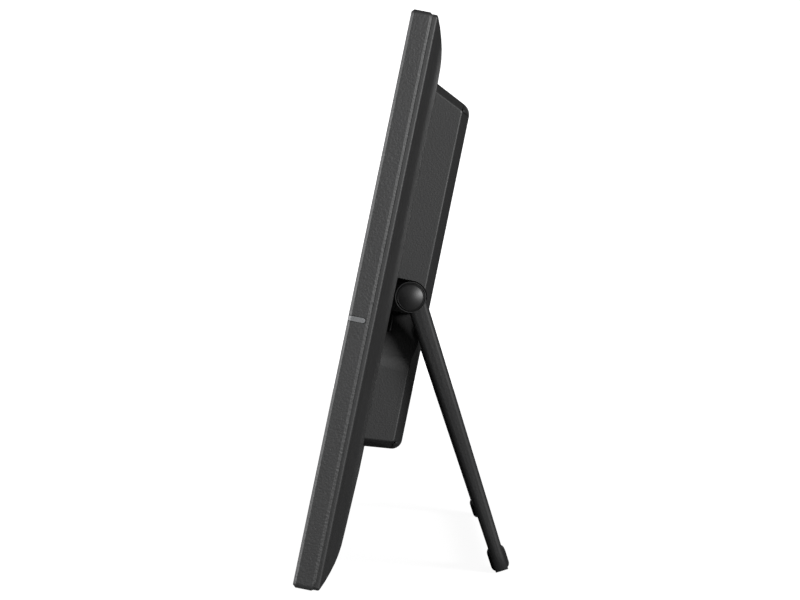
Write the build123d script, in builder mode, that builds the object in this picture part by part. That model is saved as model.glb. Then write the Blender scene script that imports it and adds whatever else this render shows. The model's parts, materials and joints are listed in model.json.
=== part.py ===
from build123d import *
import os
from math import atan2, cos, degrees, radians, sin, sqrt, tan

os.makedirs("parts", exist_ok=True)

# Stance in degrees: how far the panel leans back, and how far the stand swings out behind it
lean = 11.7
stand_open = 29.2

# Front frame: the moulded rim round the screen, sizes in millimetres
side_border = 25.7
end_border = 25.95
corner_radius = 3.0
frame_depth = 12.0
frame_wall = 2.4
face_thickness = 2.4
front_chamfer = 1.5
screen_width = 476.6
screen_height = 268.1
window_margin = 1.0
window_bevel = 1.4

# Display stack, from the lens behind the frame's face back to the steel tray
lens_thickness = 1.5
lens_lap = 3.0
gasket_thickness = 0.5
gasket_width = 2.6
cell_thickness = 1.5
film_thickness = 0.7
guide_thickness = 2.5
reflector_thickness = 0.3
tray_thickness = 0.8
cell_border = 4.0
module_border = 6.2
film_gap = 0.6
strip_thickness = 1.0
led_height = 1.2
led_length = 5.0
led_width = 2.0
led_count = 24
timing_width = 220.0
timing_height = 30.0
timing_rise = 8.0

# Chassis plate, screwed to the front frame behind the tray
chassis_thickness = 1.2
chassis_width = 370.0
chassis_gap = 8.25
chassis_top_margin = 34.0
arm_width = 16.0
arm_inset = 10.0
arm_gap = 0.8
stud_radius = 1.9
stud_length = 7.5

# Screws and bosses
boss_radius = 3.4
pilot_radius = 1.5
shank_radius = 1.45
boss_floor = 1.0
edge_screw_inset = 11.0
end_screw_inset = 14.0
inner_screw_x = 70.0
outer_screw_x = 205.0
post_radius = 4.6
screw_hole_radius = 1.7
well_radius = 3.3
well_floor = 3.0
head_radius = 2.8
head_height = 1.9
small_head_radius = 2.2
small_head_height = 1.4
small_shank_radius = 1.1
small_pilot_radius = 1.15
drive_width = 0.6

# Back cover: a rim, a pillow edge and the housing moulded on its middle
cover_inset = 1.5
corner_overlap = 0.2
rim_depth = 14.4
back_depth = 21.7
pillow_run = 28.0
cover_wall = 2.2
bulge_width = 330.0
bulge_depth = 43.6
bulge_low = 75.7
bulge_top_margin = 27.2
bulge_top_slope = 25.0
bulge_bottom_draft = 5.0
bulge_chamfer = 4.7
bulge_top_land = 3.0
bulge_bottom_land = 1.5
vent_count = 20
vent_pitch = 14.5
vent_width = 3.0
vent_length = 11.0
vent_depth = 31.5

# Hinge: a friction shaft through a steel bracket, its barrel lying in a pocket of the housing
hinge_height = 166.8
hinge_depth = 31.3
knuckle_radius = 9.0
pocket_gap = 0.8
pocket_drop = 38.0
pocket_reach = 14.0
barrel_gap = 1.0
shaft_radius = 4.0
shaft_fit = 0.05
shaft_hole_gap = 0.6
shaft_seat = 26.0
shaft_tail = 12.0
bracket_thickness = 3.0
bracket_gap = 0.8
bracket_length = 34.0
bracket_half_height = 18.0
ear_radius = 8.0
nut_spot_inset = 7.0
nut_across = 7.0
nut_height = 3.0
nut_fit = 0.1
washer_radius = 7.5
washer_thickness = 1.0
hinge_nut_across = 12.0
hinge_nut_height = 4.5

# Stand: two tapered legs, a crossbar between them and a rubber boot by each foot
leg_gap = 3.0
leg_width = 16.0
leg_axis = 3.0
leg_foot_width = 7.5
leg_front_top = 3.4
leg_rear_top = 8.3
leg_outer_round = 3.0
leg_inner_round = 1.2
leg_tail = 5.8
cap_radius = 8.3
cap_fit = 0.1
cap_seat = 2.2
cap_rim = 0.7
cap_rise = 2.2
cap_land = 1.1
bar_across = 5.2
bar_along = 8.4
bar_corner = 1.4
bar_socket = 8.0
bar_fit = 0.05
boot_across = 10.8
boot_along = 13.6
boot_corner = 3.6
boot_length = 15.0
boot_edge = 1.0

# Front feet: rubber pads let into the underside of the front frame
foot_length = 60.0
foot_width = 6.4
foot_depth = 6.0
foot_seat = 1.5
foot_drop = 1.5
foot_round = 1.4
foot_fit = 0.1
foot_spread = 170.0

# Status light: a bar of light guide let into the right-hand side of the rim
light_height = 149.0
light_bar = 2.8
light_length = 9.6
light_reach = 5.0
light_fit = 0.1
light_proud = 0.3
led_board_width = 8.0
led_board_height = 16.0
led_board_thickness = 1.2
status_led_size = 3.0
status_led_height = 1.3

# Wall-arm mount: four tapped standoffs on a 100 mm square
mount_pitch = 100.0
mount_rise = 19.0
mount_radius = 5.5
mount_tip_radius = 4.0
mount_tip_fit = 0.3
mount_hole_radius = 2.0
mount_hole_depth = 14.0

# Connector bay, let into the underside of the housing
bay_width = 132.0
bay_front = 25.0
bay_rear = 36.8
bay_roof = 91.0
port_fit = 0.4
port_recess = 0.8

# Main board and what is soldered or screwed to it
board_width = 176.0
board_height = 100.0
board_low = 95.5
board_front = 26.0
board_thickness = 1.6
board_hole_inset = 6.0
standoff_radius = 3.0
standoff_hole_radius = 1.25
board_screw_length = 5.0
mount_clearance = 1.5
processor_size = 22.0
processor_height = 1.6
processor_low = 50.0
sink_size = 38.0
sink_base = 2.0
sink_height = 9.0
sink_fins = 7
fin_gap = 3.0
memory_width = 9.0
memory_height = 13.0
memory_thickness = 1.2
memory_pitch = 15.0
memory_count = 4
wireless_x = 58.0
wireless_width = 16.0
wireless_height = 24.0
wireless_thickness = 2.6
wireless_corner = 1.0
cell_x = -60.0
clock_cell_radius = 10.0
clock_cell_height = 3.2
holder_wall = 1.6
holder_height = 4.0
holder_fit = 0.05
ribbon_width = 8.0
ribbon_thickness = 0.4
ribbon_bend = 3.0
ribbon_lap = 14.0

# Sockets on the lower edge of the main board: place across, width, height off the board and length
hdmi_x = -33.0
hdmi_width = 15.0
hdmi_height = 5.6
hdmi_length = 12.0
hdmi_wall = 0.5
hdmi_tongue_width = 11.0
hdmi_tongue = 1.2
usb_left_x = -14.5
usb_right_x = 3.5
usb_width = 13.2
usb_height = 5.8
usb_length = 14.0
usb_wall = 0.4
usb_tongue_width = 11.0
usb_tongue = 1.8
card_x = 28.0
card_width = 27.0
card_height = 3.4
card_length = 26.0
card_wall = 0.5
card_side = 1.3
audio_x = -61.5
audio_width = 6.4
audio_height = 6.0
audio_length = 12.0
audio_bore = 1.8
audio_bore_depth = 11.0
dc_x = 60.5
dc_width = 9.0
dc_height = 8.4
dc_length = 13.0
dc_bore = 2.9
dc_pin = 1.0
dc_bore_depth = 10.0

# Speakers, clamped to the inside of the housing's rear wall
speaker_x = 118.0
speaker_height = 112.0
speaker_width = 36.0
speaker_length = 62.0
speaker_flange = 2.0
speaker_corner = 5.0
speaker_screw_inset = 4.0
speaker_gasket = 0.8
gasket_outer = 42.0
gasket_ring = 3.0
basket_radius = 16.0
magnet_radius = 13.0
basket_depth = 5.0
magnet_depth = 6.0
cone_radius = 14.0
cone_floor = 6.0
cone_depth = 4.0
basket_draft = 15.0
grille_slots = 8
grille_pitch = 4.4
grille_slot = 2.2
grille_length = 26.0

# Keys: four push keys in the flat of the back cover, over a switch board
key_inset = 64.0
key_drop = 76.0
key_pitch = 18.0
key_radius = 4.2
key_fit = 0.3
key_proud = 1.0
key_flange_radius = 5.6
key_flange = 1.0
key_play = 0.3
key_stem_radius = 1.8
key_stem = 1.0
key_dish = 0.4
key_board_width = 16.0
key_board_height = 104.0
key_board_rear = 14.0
key_board_thickness = 1.6
key_post_radius = 3.0
key_post_reach = 46.0
switch_size = 6.0
switch_height = 2.4

# Derived positions, in the panel's own terms: x across, v up from the bottom edge, depth from the front
sin_lean = sin(radians(lean))
cos_lean = cos(radians(lean))
sin_leg = sin(radians(stand_open - lean))
cos_leg = cos(radians(stand_open - lean))
width = screen_width + 2 * side_border
height = screen_height + 2 * end_border
middle = height / 2
window_width = screen_width + 2 * window_margin
window_height = screen_height + 2 * window_margin
lens_front = face_thickness
gasket_front = lens_front + lens_thickness
cell_front = gasket_front + gasket_thickness
film_front = cell_front + cell_thickness
guide_front = film_front + film_thickness
reflector_front = guide_front + guide_thickness
tray_front = reflector_front + reflector_thickness
chassis_front = tray_front + tray_thickness
chassis_rear = chassis_front + chassis_thickness
module_width = screen_width + 2 * module_border
module_height = screen_height + 2 * module_border
tray_room_width = module_width - 2 * tray_thickness
tray_room_height = module_height - 2 * tray_thickness
tray_floor = middle - tray_room_height / 2
timing_low = middle - module_height / 2 + timing_rise
chassis_low = timing_low + timing_height + chassis_gap
chassis_high = height - chassis_top_margin
strip_rear = tray_floor + strip_thickness
guide_low = strip_rear + led_height + film_gap
guide_height = middle + tray_room_height / 2 - film_gap - guide_low
board_rear = board_front + board_thickness
board_middle = board_low + board_height / 2
standoff_edge = board_width / 2 - board_hole_inset - 2 * standoff_radius / sqrt(3)
ribbon_x = -(bay_width / 2 + cover_wall + standoff_edge) / 2
inner_back = back_depth - cover_wall
inner_rear = bulge_depth - cover_wall
wall_x = bulge_width / 2
bulge_high = height - bulge_top_margin
mount_height = bay_roof + mount_rise + mount_pitch / 2
pocket_floor = wall_x - pocket_reach
pocket_radius = knuckle_radius + pocket_gap
pocket_rear = hinge_depth + pocket_radius
ear_outer = pocket_floor - cover_wall - bracket_gap
ear_inner = ear_outer - bracket_thickness
barrel_start = pocket_floor + barrel_gap
leg_inner = wall_x + leg_gap
leg_outer = leg_inner + leg_width
port_mouth = bay_roof + port_recess
screw_x = width / 2 - edge_screw_inset
screw_seat = frame_depth + well_floor
key_board_front = key_board_rear - key_board_thickness
key_x = key_inset - width / 2
key_middle = chassis_high - arm_inset - key_drop
key_low = key_middle - 1.5 * key_pitch
speaker_screw_reach = speaker_length / 2 - speaker_screw_inset
speaker_seat = inner_rear - speaker_gasket
speaker_front = speaker_seat - speaker_flange
small_head = (small_head_radius, small_head_height)

# The panel stands on its front feet, and the boots reach down to the same floor
foot_corner_depth = foot_depth + foot_width / 2 - foot_round
foot_corner_height = foot_round - foot_drop
front_z = foot_corner_depth * sin_lean - foot_corner_height * cos_lean + foot_round
hinge_z = front_z + hinge_height * cos_lean - hinge_depth * sin_lean
boot_flat_across = boot_across / 2 - boot_corner
boot_flat_along = boot_along / 2 - boot_corner
boot_lowest = boot_flat_across * sin_leg + boot_flat_along * cos_leg + boot_corner
boot_rearmost = boot_flat_across * cos_leg + boot_flat_along * sin_leg + boot_corner
boot_reach = (hinge_z + leg_axis * sin_leg - boot_lowest) / cos_leg
leg_length = boot_reach + leg_tail
hinge_behind = hinge_height * sin_lean + hinge_depth * cos_lean
rear_reach = hinge_behind + leg_axis * cos_leg + boot_reach * sin_leg + boot_rearmost
front_y = -(rear_reach + front_chamfer * sin_lean) / 2
hinge_y = front_y + hinge_behind

REARWARD = (0, cos_lean, -sin_lean)
UPWARD = (0, sin_lean, cos_lean)
CORNER = (0, front_y, front_z)
FRONT = Plane(origin=CORNER, x_dir=(1, 0, 0), z_dir=(0, -cos_lean, sin_lean))
SIDE = Plane(origin=CORNER, x_dir=REARWARD, z_dir=(1, 0, 0))
UNDER = Plane(origin=CORNER, x_dir=(1, 0, 0), z_dir=UPWARD)
OVER = Plane(origin=CORNER, x_dir=REARWARD, z_dir=(0, -sin_lean, -cos_lean)).offset(-height)
STAND = Plane(origin=(0, hinge_y, hinge_z), x_dir=(0, cos_leg, sin_leg), z_dir=(1, 0, 0))
TO_VIEWER = Axis(CORNER, (0, -cos_lean, sin_lean))

HANDS = ((-1, "left"), (1, "right"))
end_heights = (end_screw_inset, height - end_screw_inset)
arm_heights = (chassis_low + arm_inset, chassis_high - arm_inset)
cover_screw_spots = [
    (side * x, v) for side, _ in HANDS for x in (inner_screw_x, outer_screw_x) for v in end_heights
]
chassis_screw_spots = [(side * screw_x, v) for side, _ in HANDS for v in arm_heights]
mount_spots = [
    (side * mount_pitch / 2, mount_height + rise * mount_pitch / 2) for side in (-1, 1) for rise in (-1, 1)
]
board_spots = [
    (side * (board_width / 2 - board_hole_inset), board_middle + rise * (board_height / 2 - board_hole_inset))
    for side in (-1, 1)
    for rise in (-1, 1)
]
speaker_spots = [
    (side * speaker_x, speaker_height + rise * speaker_screw_reach) for side in (-1, 1) for rise in (-1, 1)
]
key_post_spots = [(key_x, key_middle + rise * key_post_reach) for rise in (-1, 1)]
key_names = ("power_key", "menu_key", "previous_key", "next_key")
key_spots = [(key_x, key_low + place * key_pitch) for place in range(len(key_names))]
bracket_spots = [
    (side * (ear_inner - across), hinge_height + rise * (bracket_half_height - nut_spot_inset))
    for side in (-1, 1)
    for across in (nut_spot_inset, bracket_length - nut_spot_inset)
    for rise in (-1, 1)
]


def at_depth(depth):
    """Plane parallel to the screen, facing the viewer; a negative extrusion runs rearward."""
    return FRONT.offset(-depth)


def at_height(v):
    """Plane square to the panel's height, facing up it; sketched in x and depth."""
    return UNDER.offset(v)


def save(piece, name):
    piece.part.label = name
    export_step(piece.part, f"parts/{name}.step")


def pan_screws(spots, seat, head, shank, way):
    """Cross-slot screws with head and shank given as (radius, length); way is -1 for heads at the rear."""
    head_size, head_tall = head
    shank_size, shank_long = shank
    with BuildPart() as screws:
        with BuildSketch(at_depth(seat)):
            with Locations(*spots):
                Circle(head_size)
        extrude(amount=way * head_tall)
        with BuildSketch(at_depth(seat)):
            with Locations(*spots):
                Circle(shank_size)
        extrude(amount=-way * shank_long)
        with BuildSketch(at_depth(seat - way * head_tall)):
            with Locations(*spots):
                Rectangle(head_size, drive_width)
                Rectangle(drive_width, head_size)
        extrude(amount=-way * head_tall / 2, mode=Mode.SUBTRACT)
    return screws


# Front frame: face, side wall, screw bosses, foot seats and the slot for the status light
with BuildPart() as front_frame:
    with BuildSketch(at_depth(0)):
        with Locations((0, middle)):
            RectangleRounded(width, height, corner_radius)
    extrude(amount=-frame_depth)
    faces_by_depth = front_frame.faces().sort_by(TO_VIEWER)
    chamfer(faces_by_depth[-1].edges(), front_chamfer)
    chamfer(front_frame.faces().sort_by(TO_VIEWER)[0].edges(), cover_inset)
    with BuildSketch(at_depth(face_thickness)):
        with Locations((0, middle)):
            Rectangle(width - 2 * frame_wall, height - 2 * frame_wall)
    extrude(amount=-frame_depth, mode=Mode.SUBTRACT)
    with BuildSketch(at_depth(0)):
        with Locations((0, middle)):
            Rectangle(window_width, window_height)
    extrude(amount=-face_thickness, mode=Mode.SUBTRACT)
    front_face = front_frame.faces().sort_by(TO_VIEWER)[-1]
    chamfer(front_face.inner_wires()[0].edges(), window_bevel)
    with BuildSketch(at_depth(face_thickness)):
        with Locations(*cover_screw_spots):
            Circle(boss_radius)
    extrude(amount=face_thickness - frame_depth)
    with BuildSketch(at_depth(face_thickness)):
        with Locations(*chassis_screw_spots):
            Circle(boss_radius)
    extrude(amount=face_thickness - chassis_front)
    with BuildSketch(at_depth(face_thickness + boss_floor)):
        with Locations(*cover_screw_spots, *chassis_screw_spots):
            Circle(pilot_radius)
    extrude(amount=-frame_depth, mode=Mode.SUBTRACT)
    with BuildSketch(at_height(0)):
        with Locations((-foot_spread, foot_depth), (foot_spread, foot_depth)):
            Rectangle(foot_length + 2 * foot_fit, foot_width + 2 * foot_fit)
    extrude(amount=foot_seat, mode=Mode.SUBTRACT)
    with BuildSketch(SIDE.offset(width / 2 - light_reach)):
        with Locations((light_length - light_bar / 2, light_height)):
            Circle(light_bar / 2 + light_fit)
        with Locations(((light_length - light_bar / 2) / 2, light_height)):
            Rectangle(light_length - light_bar / 2, light_bar + 2 * light_fit)
    extrude(amount=2 * light_reach, mode=Mode.SUBTRACT)
save(front_frame, "front_frame")

# Status light: its outer front corner is cut to follow the rim
with BuildPart() as status_light:
    with BuildSketch(SIDE.offset(width / 2 - light_reach)):
        with Locations((light_length - light_bar / 2, light_height)):
            Circle(light_bar / 2)
        with Locations(((light_length - light_bar / 2) / 2, light_height)):
            Rectangle(light_length - light_bar / 2, light_bar)
    extrude(amount=light_reach + light_proud)
    front_edges = status_light.faces().sort_by(TO_VIEWER)[-1].edges()
    chamfer(front_edges.sort_by(Axis.X)[-1], front_chamfer)
save(status_light, "status_light")

# Status LED board, standing on edge behind the status light
led_board_x = width / 2 - light_reach - status_led_height - led_board_thickness
with BuildPart() as status_led_board:
    with BuildSketch(SIDE.offset(led_board_x)):
        with Locations((face_thickness + led_board_width / 2, light_height)):
            Rectangle(led_board_width, led_board_height)
    extrude(amount=led_board_thickness)
    with BuildSketch(SIDE.offset(led_board_x + led_board_thickness)):
        with Locations((face_thickness + led_board_width / 2, light_height)):
            Rectangle(status_led_size, status_led_size)
    extrude(amount=status_led_height - light_fit)
save(status_led_board, "status_led_board")

# Front feet
for side, hand in HANDS:
    with BuildPart() as front_foot:
        with BuildSketch(SIDE.offset(side * foot_spread - foot_length / 2)) as foot_outline:
            with Locations((foot_depth, (foot_seat - foot_drop) / 2)):
                Rectangle(foot_width, foot_seat + foot_drop)
            fillet(foot_outline.vertices().sort_by(Axis.Y)[:2], foot_round)
        extrude(amount=foot_length)
    save(front_foot, f"front_foot_{hand}")

# Cover lens, behind the face of the front frame
with BuildPart() as cover_lens:
    with BuildSketch(at_depth(lens_front)):
        with Locations((0, middle)):
            Rectangle(window_width + 2 * lens_lap, window_height + 2 * lens_lap)
    extrude(amount=-lens_thickness)
save(cover_lens, "cover_lens")

# Lens gasket, a foam ring between the lens and the cell
with BuildPart() as lens_gasket:
    with BuildSketch(at_depth(gasket_front)):
        with Locations((0, middle)):
            Rectangle(window_width + 2 * gasket_width, window_height + 2 * gasket_width)
            Rectangle(window_width, window_height, mode=Mode.SUBTRACT)
    extrude(amount=-gasket_thickness)
save(lens_gasket, "lens_gasket")

# LCD cell
with BuildPart() as lcd_cell:
    with BuildSketch(at_depth(cell_front)):
        with Locations((0, middle)):
            Rectangle(screen_width + 2 * cell_border, screen_height + 2 * cell_border)
    extrude(amount=-cell_thickness)
save(lcd_cell, "lcd_cell")

# Optical films
with BuildPart() as optical_films:
    with BuildSketch(at_depth(film_front)):
        with Locations((0, middle)):
            Rectangle(tray_room_width - 2 * film_gap, tray_room_height - 2 * film_gap)
    extrude(amount=-film_thickness)
save(optical_films, "optical_films")

# Light guide, short of the tray's floor by the LED strip
with BuildPart() as light_guide:
    with BuildSketch(at_depth(guide_front)):
        with Locations((0, guide_low + guide_height / 2)):
            Rectangle(tray_room_width - 2 * film_gap, guide_height)
    extrude(amount=-guide_thickness)
save(light_guide, "light_guide")

# LED strip, a narrow board along the bottom edge of the light guide with its LEDs facing up
led_pitch = (tray_room_width - 2 * led_length) / led_count
guide_middle = guide_front + guide_thickness / 2
with BuildPart() as led_strip:
    with BuildSketch(at_height(tray_floor)):
        with Locations((0, guide_middle)):
            Rectangle(tray_room_width - 2 * film_gap, guide_thickness)
    extrude(amount=strip_thickness)
    with BuildSketch(at_height(strip_rear)):
        with Locations((0, guide_middle)):
            with GridLocations(led_pitch, 1, led_count, 1):
                Rectangle(led_length, led_width)
    extrude(amount=led_height)
save(led_strip, "led_strip")

# Reflector sheet
with BuildPart() as reflector_sheet:
    with BuildSketch(at_depth(reflector_front)):
        with Locations((0, middle)):
            Rectangle(tray_room_width - 2 * film_gap, tray_room_height - 2 * film_gap)
    extrude(amount=-reflector_thickness)
save(reflector_sheet, "reflector_sheet")

# Backlight tray: a shallow steel pan that holds the stack
with BuildPart() as backlight_tray:
    with BuildSketch(at_depth(cell_front)):
        with Locations((0, middle)):
            Rectangle(module_width, module_height)
    extrude(amount=cell_front - chassis_front)
    with BuildSketch(at_depth(cell_front)):
        with Locations((0, middle)):
            Rectangle(tray_room_width, tray_room_height)
    extrude(amount=cell_front - tray_front, mode=Mode.SUBTRACT)
save(backlight_tray, "backlight_tray")

# Timing board, on the back of the tray below the chassis
with BuildPart() as timing_board:
    with BuildSketch(at_depth(chassis_front)):
        with Locations((0, timing_low + timing_height / 2)):
            Rectangle(timing_width, timing_height)
    extrude(amount=-board_thickness)
save(timing_board, "timing_board")

# Chassis plate with four arms to the frame and studs for the hinge brackets
with BuildPart() as chassis_plate:
    with BuildSketch(at_depth(chassis_front)):
        with Locations((0, (chassis_low + chassis_high) / 2)):
            Rectangle(chassis_width, chassis_high - chassis_low)
        for v in arm_heights:
            with Locations((0, v)):
                SlotOverall(width - 2 * (frame_wall + arm_gap), arm_width)
        with Locations(*chassis_screw_spots):
            Circle(screw_hole_radius, mode=Mode.SUBTRACT)
    extrude(amount=-chassis_thickness)
    with BuildSketch(at_depth(chassis_rear)):
        with Locations(*bracket_spots):
            Circle(stud_radius)
    extrude(amount=-stud_length)
save(chassis_plate, "chassis_plate")

chassis_screws = pan_screws(
    chassis_screw_spots, chassis_rear, (head_radius, head_height), (shank_radius, frame_depth / 2), -1
)
save(chassis_screws, "chassis_screws")


def pillow_section(plane, start, rim, back, low, high):
    """Face of the cover's section: straight rim, arcs that meet the flat back at a tangent."""
    with BuildSketch(plane) as section:
        with BuildLine():
            Polyline((rim, high), (start, high), (start, low), (rim, low))
            TangentArc((back, low + pillow_run), (rim, low), tangent=(0, -1))
            Line((back, low + pillow_run), (back, high - pillow_run))
            TangentArc((back, high - pillow_run), (rim, high), tangent=(0, 1))
        make_face()
    return section.sketch


def bulge_body(inset):
    """The housing's block, or the room in it where the inset is one wall."""
    fall = tan(radians(bulge_top_slope))
    rise = tan(radians(bulge_bottom_draft))
    with BuildPart() as block:
        with BuildSketch(SIDE.offset(inset - wall_x)) as outline:
            with BuildLine():
                Polyline(
                    (rim_depth, bulge_low + (rim_depth - back_depth) * rise),
                    (bulge_depth, bulge_low + (bulge_depth - back_depth) * rise),
                    (bulge_depth, bulge_high - (bulge_depth - back_depth) * fall),
                    (rim_depth, bulge_high - (rim_depth - back_depth) * fall),
                    close=True,
                )
            make_face()
            bottom_corner = outline.vertices().sort_by(Axis.Y)[:2].sort_by(Axis.X)[-1]
            fillet(bottom_corner, bulge_chamfer + bulge_bottom_land)
            top_corner = outline.vertices().sort_by(Axis.Y)[-2:].sort_by(Axis.X)[-1]
            fillet(top_corner, bulge_chamfer + bulge_top_land)
            if inset:
                offset(amount=-inset)
        extrude(amount=bulge_width - 2 * inset)
        ends = block.faces().sort_by(Axis.X)
        chamfer(ends[0].edges() + ends[-1].edges(), bulge_chamfer - (2 - sqrt(2)) * inset)
    return block.part


def cover_body(inset):
    """The cover's outside, or the room inside it where the inset is one wall."""
    low = cover_inset + inset
    half = width / 2 - low
    reach = half + corner_overlap
    start = frame_depth - inset
    rim = rim_depth - inset
    back = back_depth - inset
    with BuildPart() as body:
        with BuildSketch(at_depth(start)):
            with Locations((0, middle)):
                RectangleRounded(2 * reach, height - 2 * low + 2 * corner_overlap, corner_radius)
        extrude(amount=start - back)
        along = pillow_section(SIDE.offset(-half), start, rim, back, low, height - low)
        extrude(along, amount=2 * half, mode=Mode.INTERSECT)
        across = pillow_section(OVER, start, rim, back, -half, half)
        extrude(across, amount=height, mode=Mode.INTERSECT)
        add(bulge_body(inset))
        for side, _ in HANDS:
            with BuildSketch(SIDE.offset(side * (pocket_floor - inset))) as pocket:
                with BuildLine():
                    Polyline(
                        (back, hinge_height - pocket_radius - inset),
                        (pocket_rear + inset, hinge_height - pocket_radius - inset),
                        (pocket_rear + inset, hinge_height + pocket_radius + inset),
                        (back, hinge_height + pocket_radius + inset),
                        close=True,
                    )
                make_face()
                upper_rear = pocket.vertices().sort_by(Axis.Y)[-2:].sort_by(Axis.X)[-1]
                fillet(upper_rear, pocket_radius + inset)
            extrude(amount=side * (2 * pocket_reach + inset), mode=Mode.SUBTRACT)
            with BuildSketch(at_depth(back)):
                with BuildLine():
                    Polyline(
                        (side * (pocket_floor - inset), hinge_height),
                        (side * (pocket_floor - inset), hinge_height - pocket_radius - inset),
                        (side * (wall_x - inset), hinge_height - pocket_drop - inset),
                        (side * (wall_x + pocket_reach), hinge_height - pocket_drop - inset),
                        (side * (wall_x + pocket_reach), hinge_height),
                        close=True,
                    )
                make_face()
            extrude(amount=back - pocket_rear - inset, mode=Mode.SUBTRACT)
        with BuildSketch(at_height(bulge_low - bay_front)):
            with Locations((0, (bay_front + bay_rear) / 2)):
                Rectangle(bay_width + 2 * inset, bay_rear - bay_front + 2 * inset)
        extrude(amount=bay_roof + inset - bulge_low + bay_front, mode=Mode.SUBTRACT)
    return body.part


# Room inside the back cover, less the posts that stand in it
with BuildPart() as cover_room:
    add(cover_body(cover_wall))
    with BuildSketch(at_depth(frame_depth)):
        with Locations(*cover_screw_spots):
            Circle(post_radius)
    extrude(amount=-back_depth, mode=Mode.SUBTRACT)
    with BuildSketch(at_depth(key_board_rear)):
        with Locations(*key_post_spots):
            Circle(key_post_radius)
    extrude(amount=-back_depth, mode=Mode.SUBTRACT)

# Back cover
ports = (
    (hdmi_x, hdmi_width, hdmi_height),
    (usb_left_x, usb_width, usb_height),
    (usb_right_x, usb_width, usb_height),
    (card_x, card_width, card_height),
    (audio_x, audio_width, audio_height),
    (dc_x, dc_width, dc_height),
)
with BuildPart() as back_cover:
    add(cover_body(0))
    add(cover_room.part, mode=Mode.SUBTRACT)
    with BuildSketch(at_depth(frame_depth)):
        with Locations(*cover_screw_spots):
            Circle(screw_hole_radius)
    extrude(amount=-back_depth, mode=Mode.SUBTRACT)
    with BuildSketch(at_depth(screw_seat)):
        with Locations(*cover_screw_spots):
            Circle(well_radius)
    extrude(amount=-back_depth, mode=Mode.SUBTRACT)
    with BuildSketch(at_depth(inner_rear - cover_wall)):
        with Locations(*mount_spots):
            Circle(mount_tip_radius + mount_tip_fit)
    extrude(amount=-3 * cover_wall, mode=Mode.SUBTRACT)
    with BuildSketch(at_depth(inner_rear)):
        with Locations(*speaker_spots):
            Circle(small_pilot_radius)
    extrude(amount=-cover_wall / 2, mode=Mode.SUBTRACT)
    with BuildSketch(at_depth(inner_rear - cover_wall)):
        with Locations((-speaker_x, speaker_height), (speaker_x, speaker_height)):
            with GridLocations(1, grille_pitch, 1, grille_slots):
                SlotOverall(grille_length, grille_slot)
    extrude(amount=-3 * cover_wall, mode=Mode.SUBTRACT)
    with BuildSketch(at_depth(inner_back - cover_wall)):
        with Locations(*key_spots):
            Circle(key_radius + key_fit)
    extrude(amount=-3 * cover_wall, mode=Mode.SUBTRACT)
    with BuildSketch(at_depth(key_board_rear)):
        with Locations(*key_post_spots):
            Circle(small_pilot_radius)
    extrude(amount=key_board_rear - inner_back, mode=Mode.SUBTRACT)
    for side, _ in HANDS:
        with BuildSketch(SIDE.offset(side * (pocket_floor - 2 * cover_wall))):
            with Locations((hinge_depth, hinge_height)):
                Circle(shaft_radius + shaft_hole_gap)
        extrude(amount=side * 3 * cover_wall, mode=Mode.SUBTRACT)
    with BuildSketch(at_height(bulge_high - vent_depth)):
        with Locations((0, vent_depth)):
            with GridLocations(vent_pitch, 1, vent_count, 1):
                SlotOverall(vent_length, vent_width, rotation=90)
    extrude(amount=vent_depth, mode=Mode.SUBTRACT)
    with BuildSketch(at_height(bay_roof - cover_wall)):
        for x, across, tall in ports:
            with Locations((x, board_rear + tall / 2)):
                Rectangle(across + 2 * port_fit, tall + 2 * port_fit)
    extrude(amount=3 * cover_wall, mode=Mode.SUBTRACT)
save(back_cover, "back_cover")

cover_screws = pan_screws(
    cover_screw_spots, screw_seat, (head_radius, head_height), (shank_radius, frame_depth - boss_floor), -1
)
save(cover_screws, "cover_screws")

# Mount standoffs, from the chassis to the rear of the housing, tapped for a wall arm
with BuildPart() as mount_standoffs:
    with BuildSketch(at_depth(chassis_rear)):
        with Locations(*mount_spots):
            Circle(mount_radius)
    extrude(amount=chassis_rear - inner_rear)
    with BuildSketch(at_depth(inner_rear)):
        with Locations(*mount_spots):
            Circle(mount_tip_radius)
    extrude(amount=inner_rear - bulge_depth)
    with BuildSketch(at_depth(bulge_depth)):
        with Locations(*mount_spots):
            Circle(mount_hole_radius)
    extrude(amount=mount_hole_depth, mode=Mode.SUBTRACT)
save(mount_standoffs, "mount_standoffs")

# Hinge brackets: a foot on the chassis studs and an ear that carries the shaft
for side, hand in HANDS:
    with BuildPart() as hinge_bracket:
        with BuildSketch(at_depth(chassis_rear)):
            with Locations((side * (ear_outer - bracket_length / 2 - bracket_thickness / 2), hinge_height)):
                Rectangle(bracket_length + bracket_thickness, 2 * bracket_half_height)
            with Locations(*bracket_spots):
                Circle(stud_radius + nut_fit, mode=Mode.SUBTRACT)
        extrude(amount=-bracket_thickness)
        with BuildSketch(SIDE.offset(side * ear_inner)):
            with BuildLine():
                Polyline(
                    (chassis_rear, hinge_height - bracket_half_height),
                    (hinge_depth, hinge_height - ear_radius),
                    (hinge_depth, hinge_height + ear_radius),
                    (chassis_rear, hinge_height + bracket_half_height),
                    close=True,
                )
            make_face()
            with Locations((hinge_depth, hinge_height)):
                Circle(ear_radius)
                Circle(shaft_radius + shaft_fit, mode=Mode.SUBTRACT)
        extrude(amount=side * bracket_thickness)
    save(hinge_bracket, f"hinge_bracket_{hand}")

# Bracket nuts, on the studs of the chassis
with BuildPart() as bracket_nuts:
    with BuildSketch(at_depth(chassis_rear + bracket_thickness)):
        with Locations(*bracket_spots):
            RegularPolygon(nut_across / 2, 6, major_radius=False)
            Circle(stud_radius + nut_fit, mode=Mode.SUBTRACT)
    extrude(amount=-nut_height)
save(bracket_nuts, "bracket_nuts")

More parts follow.
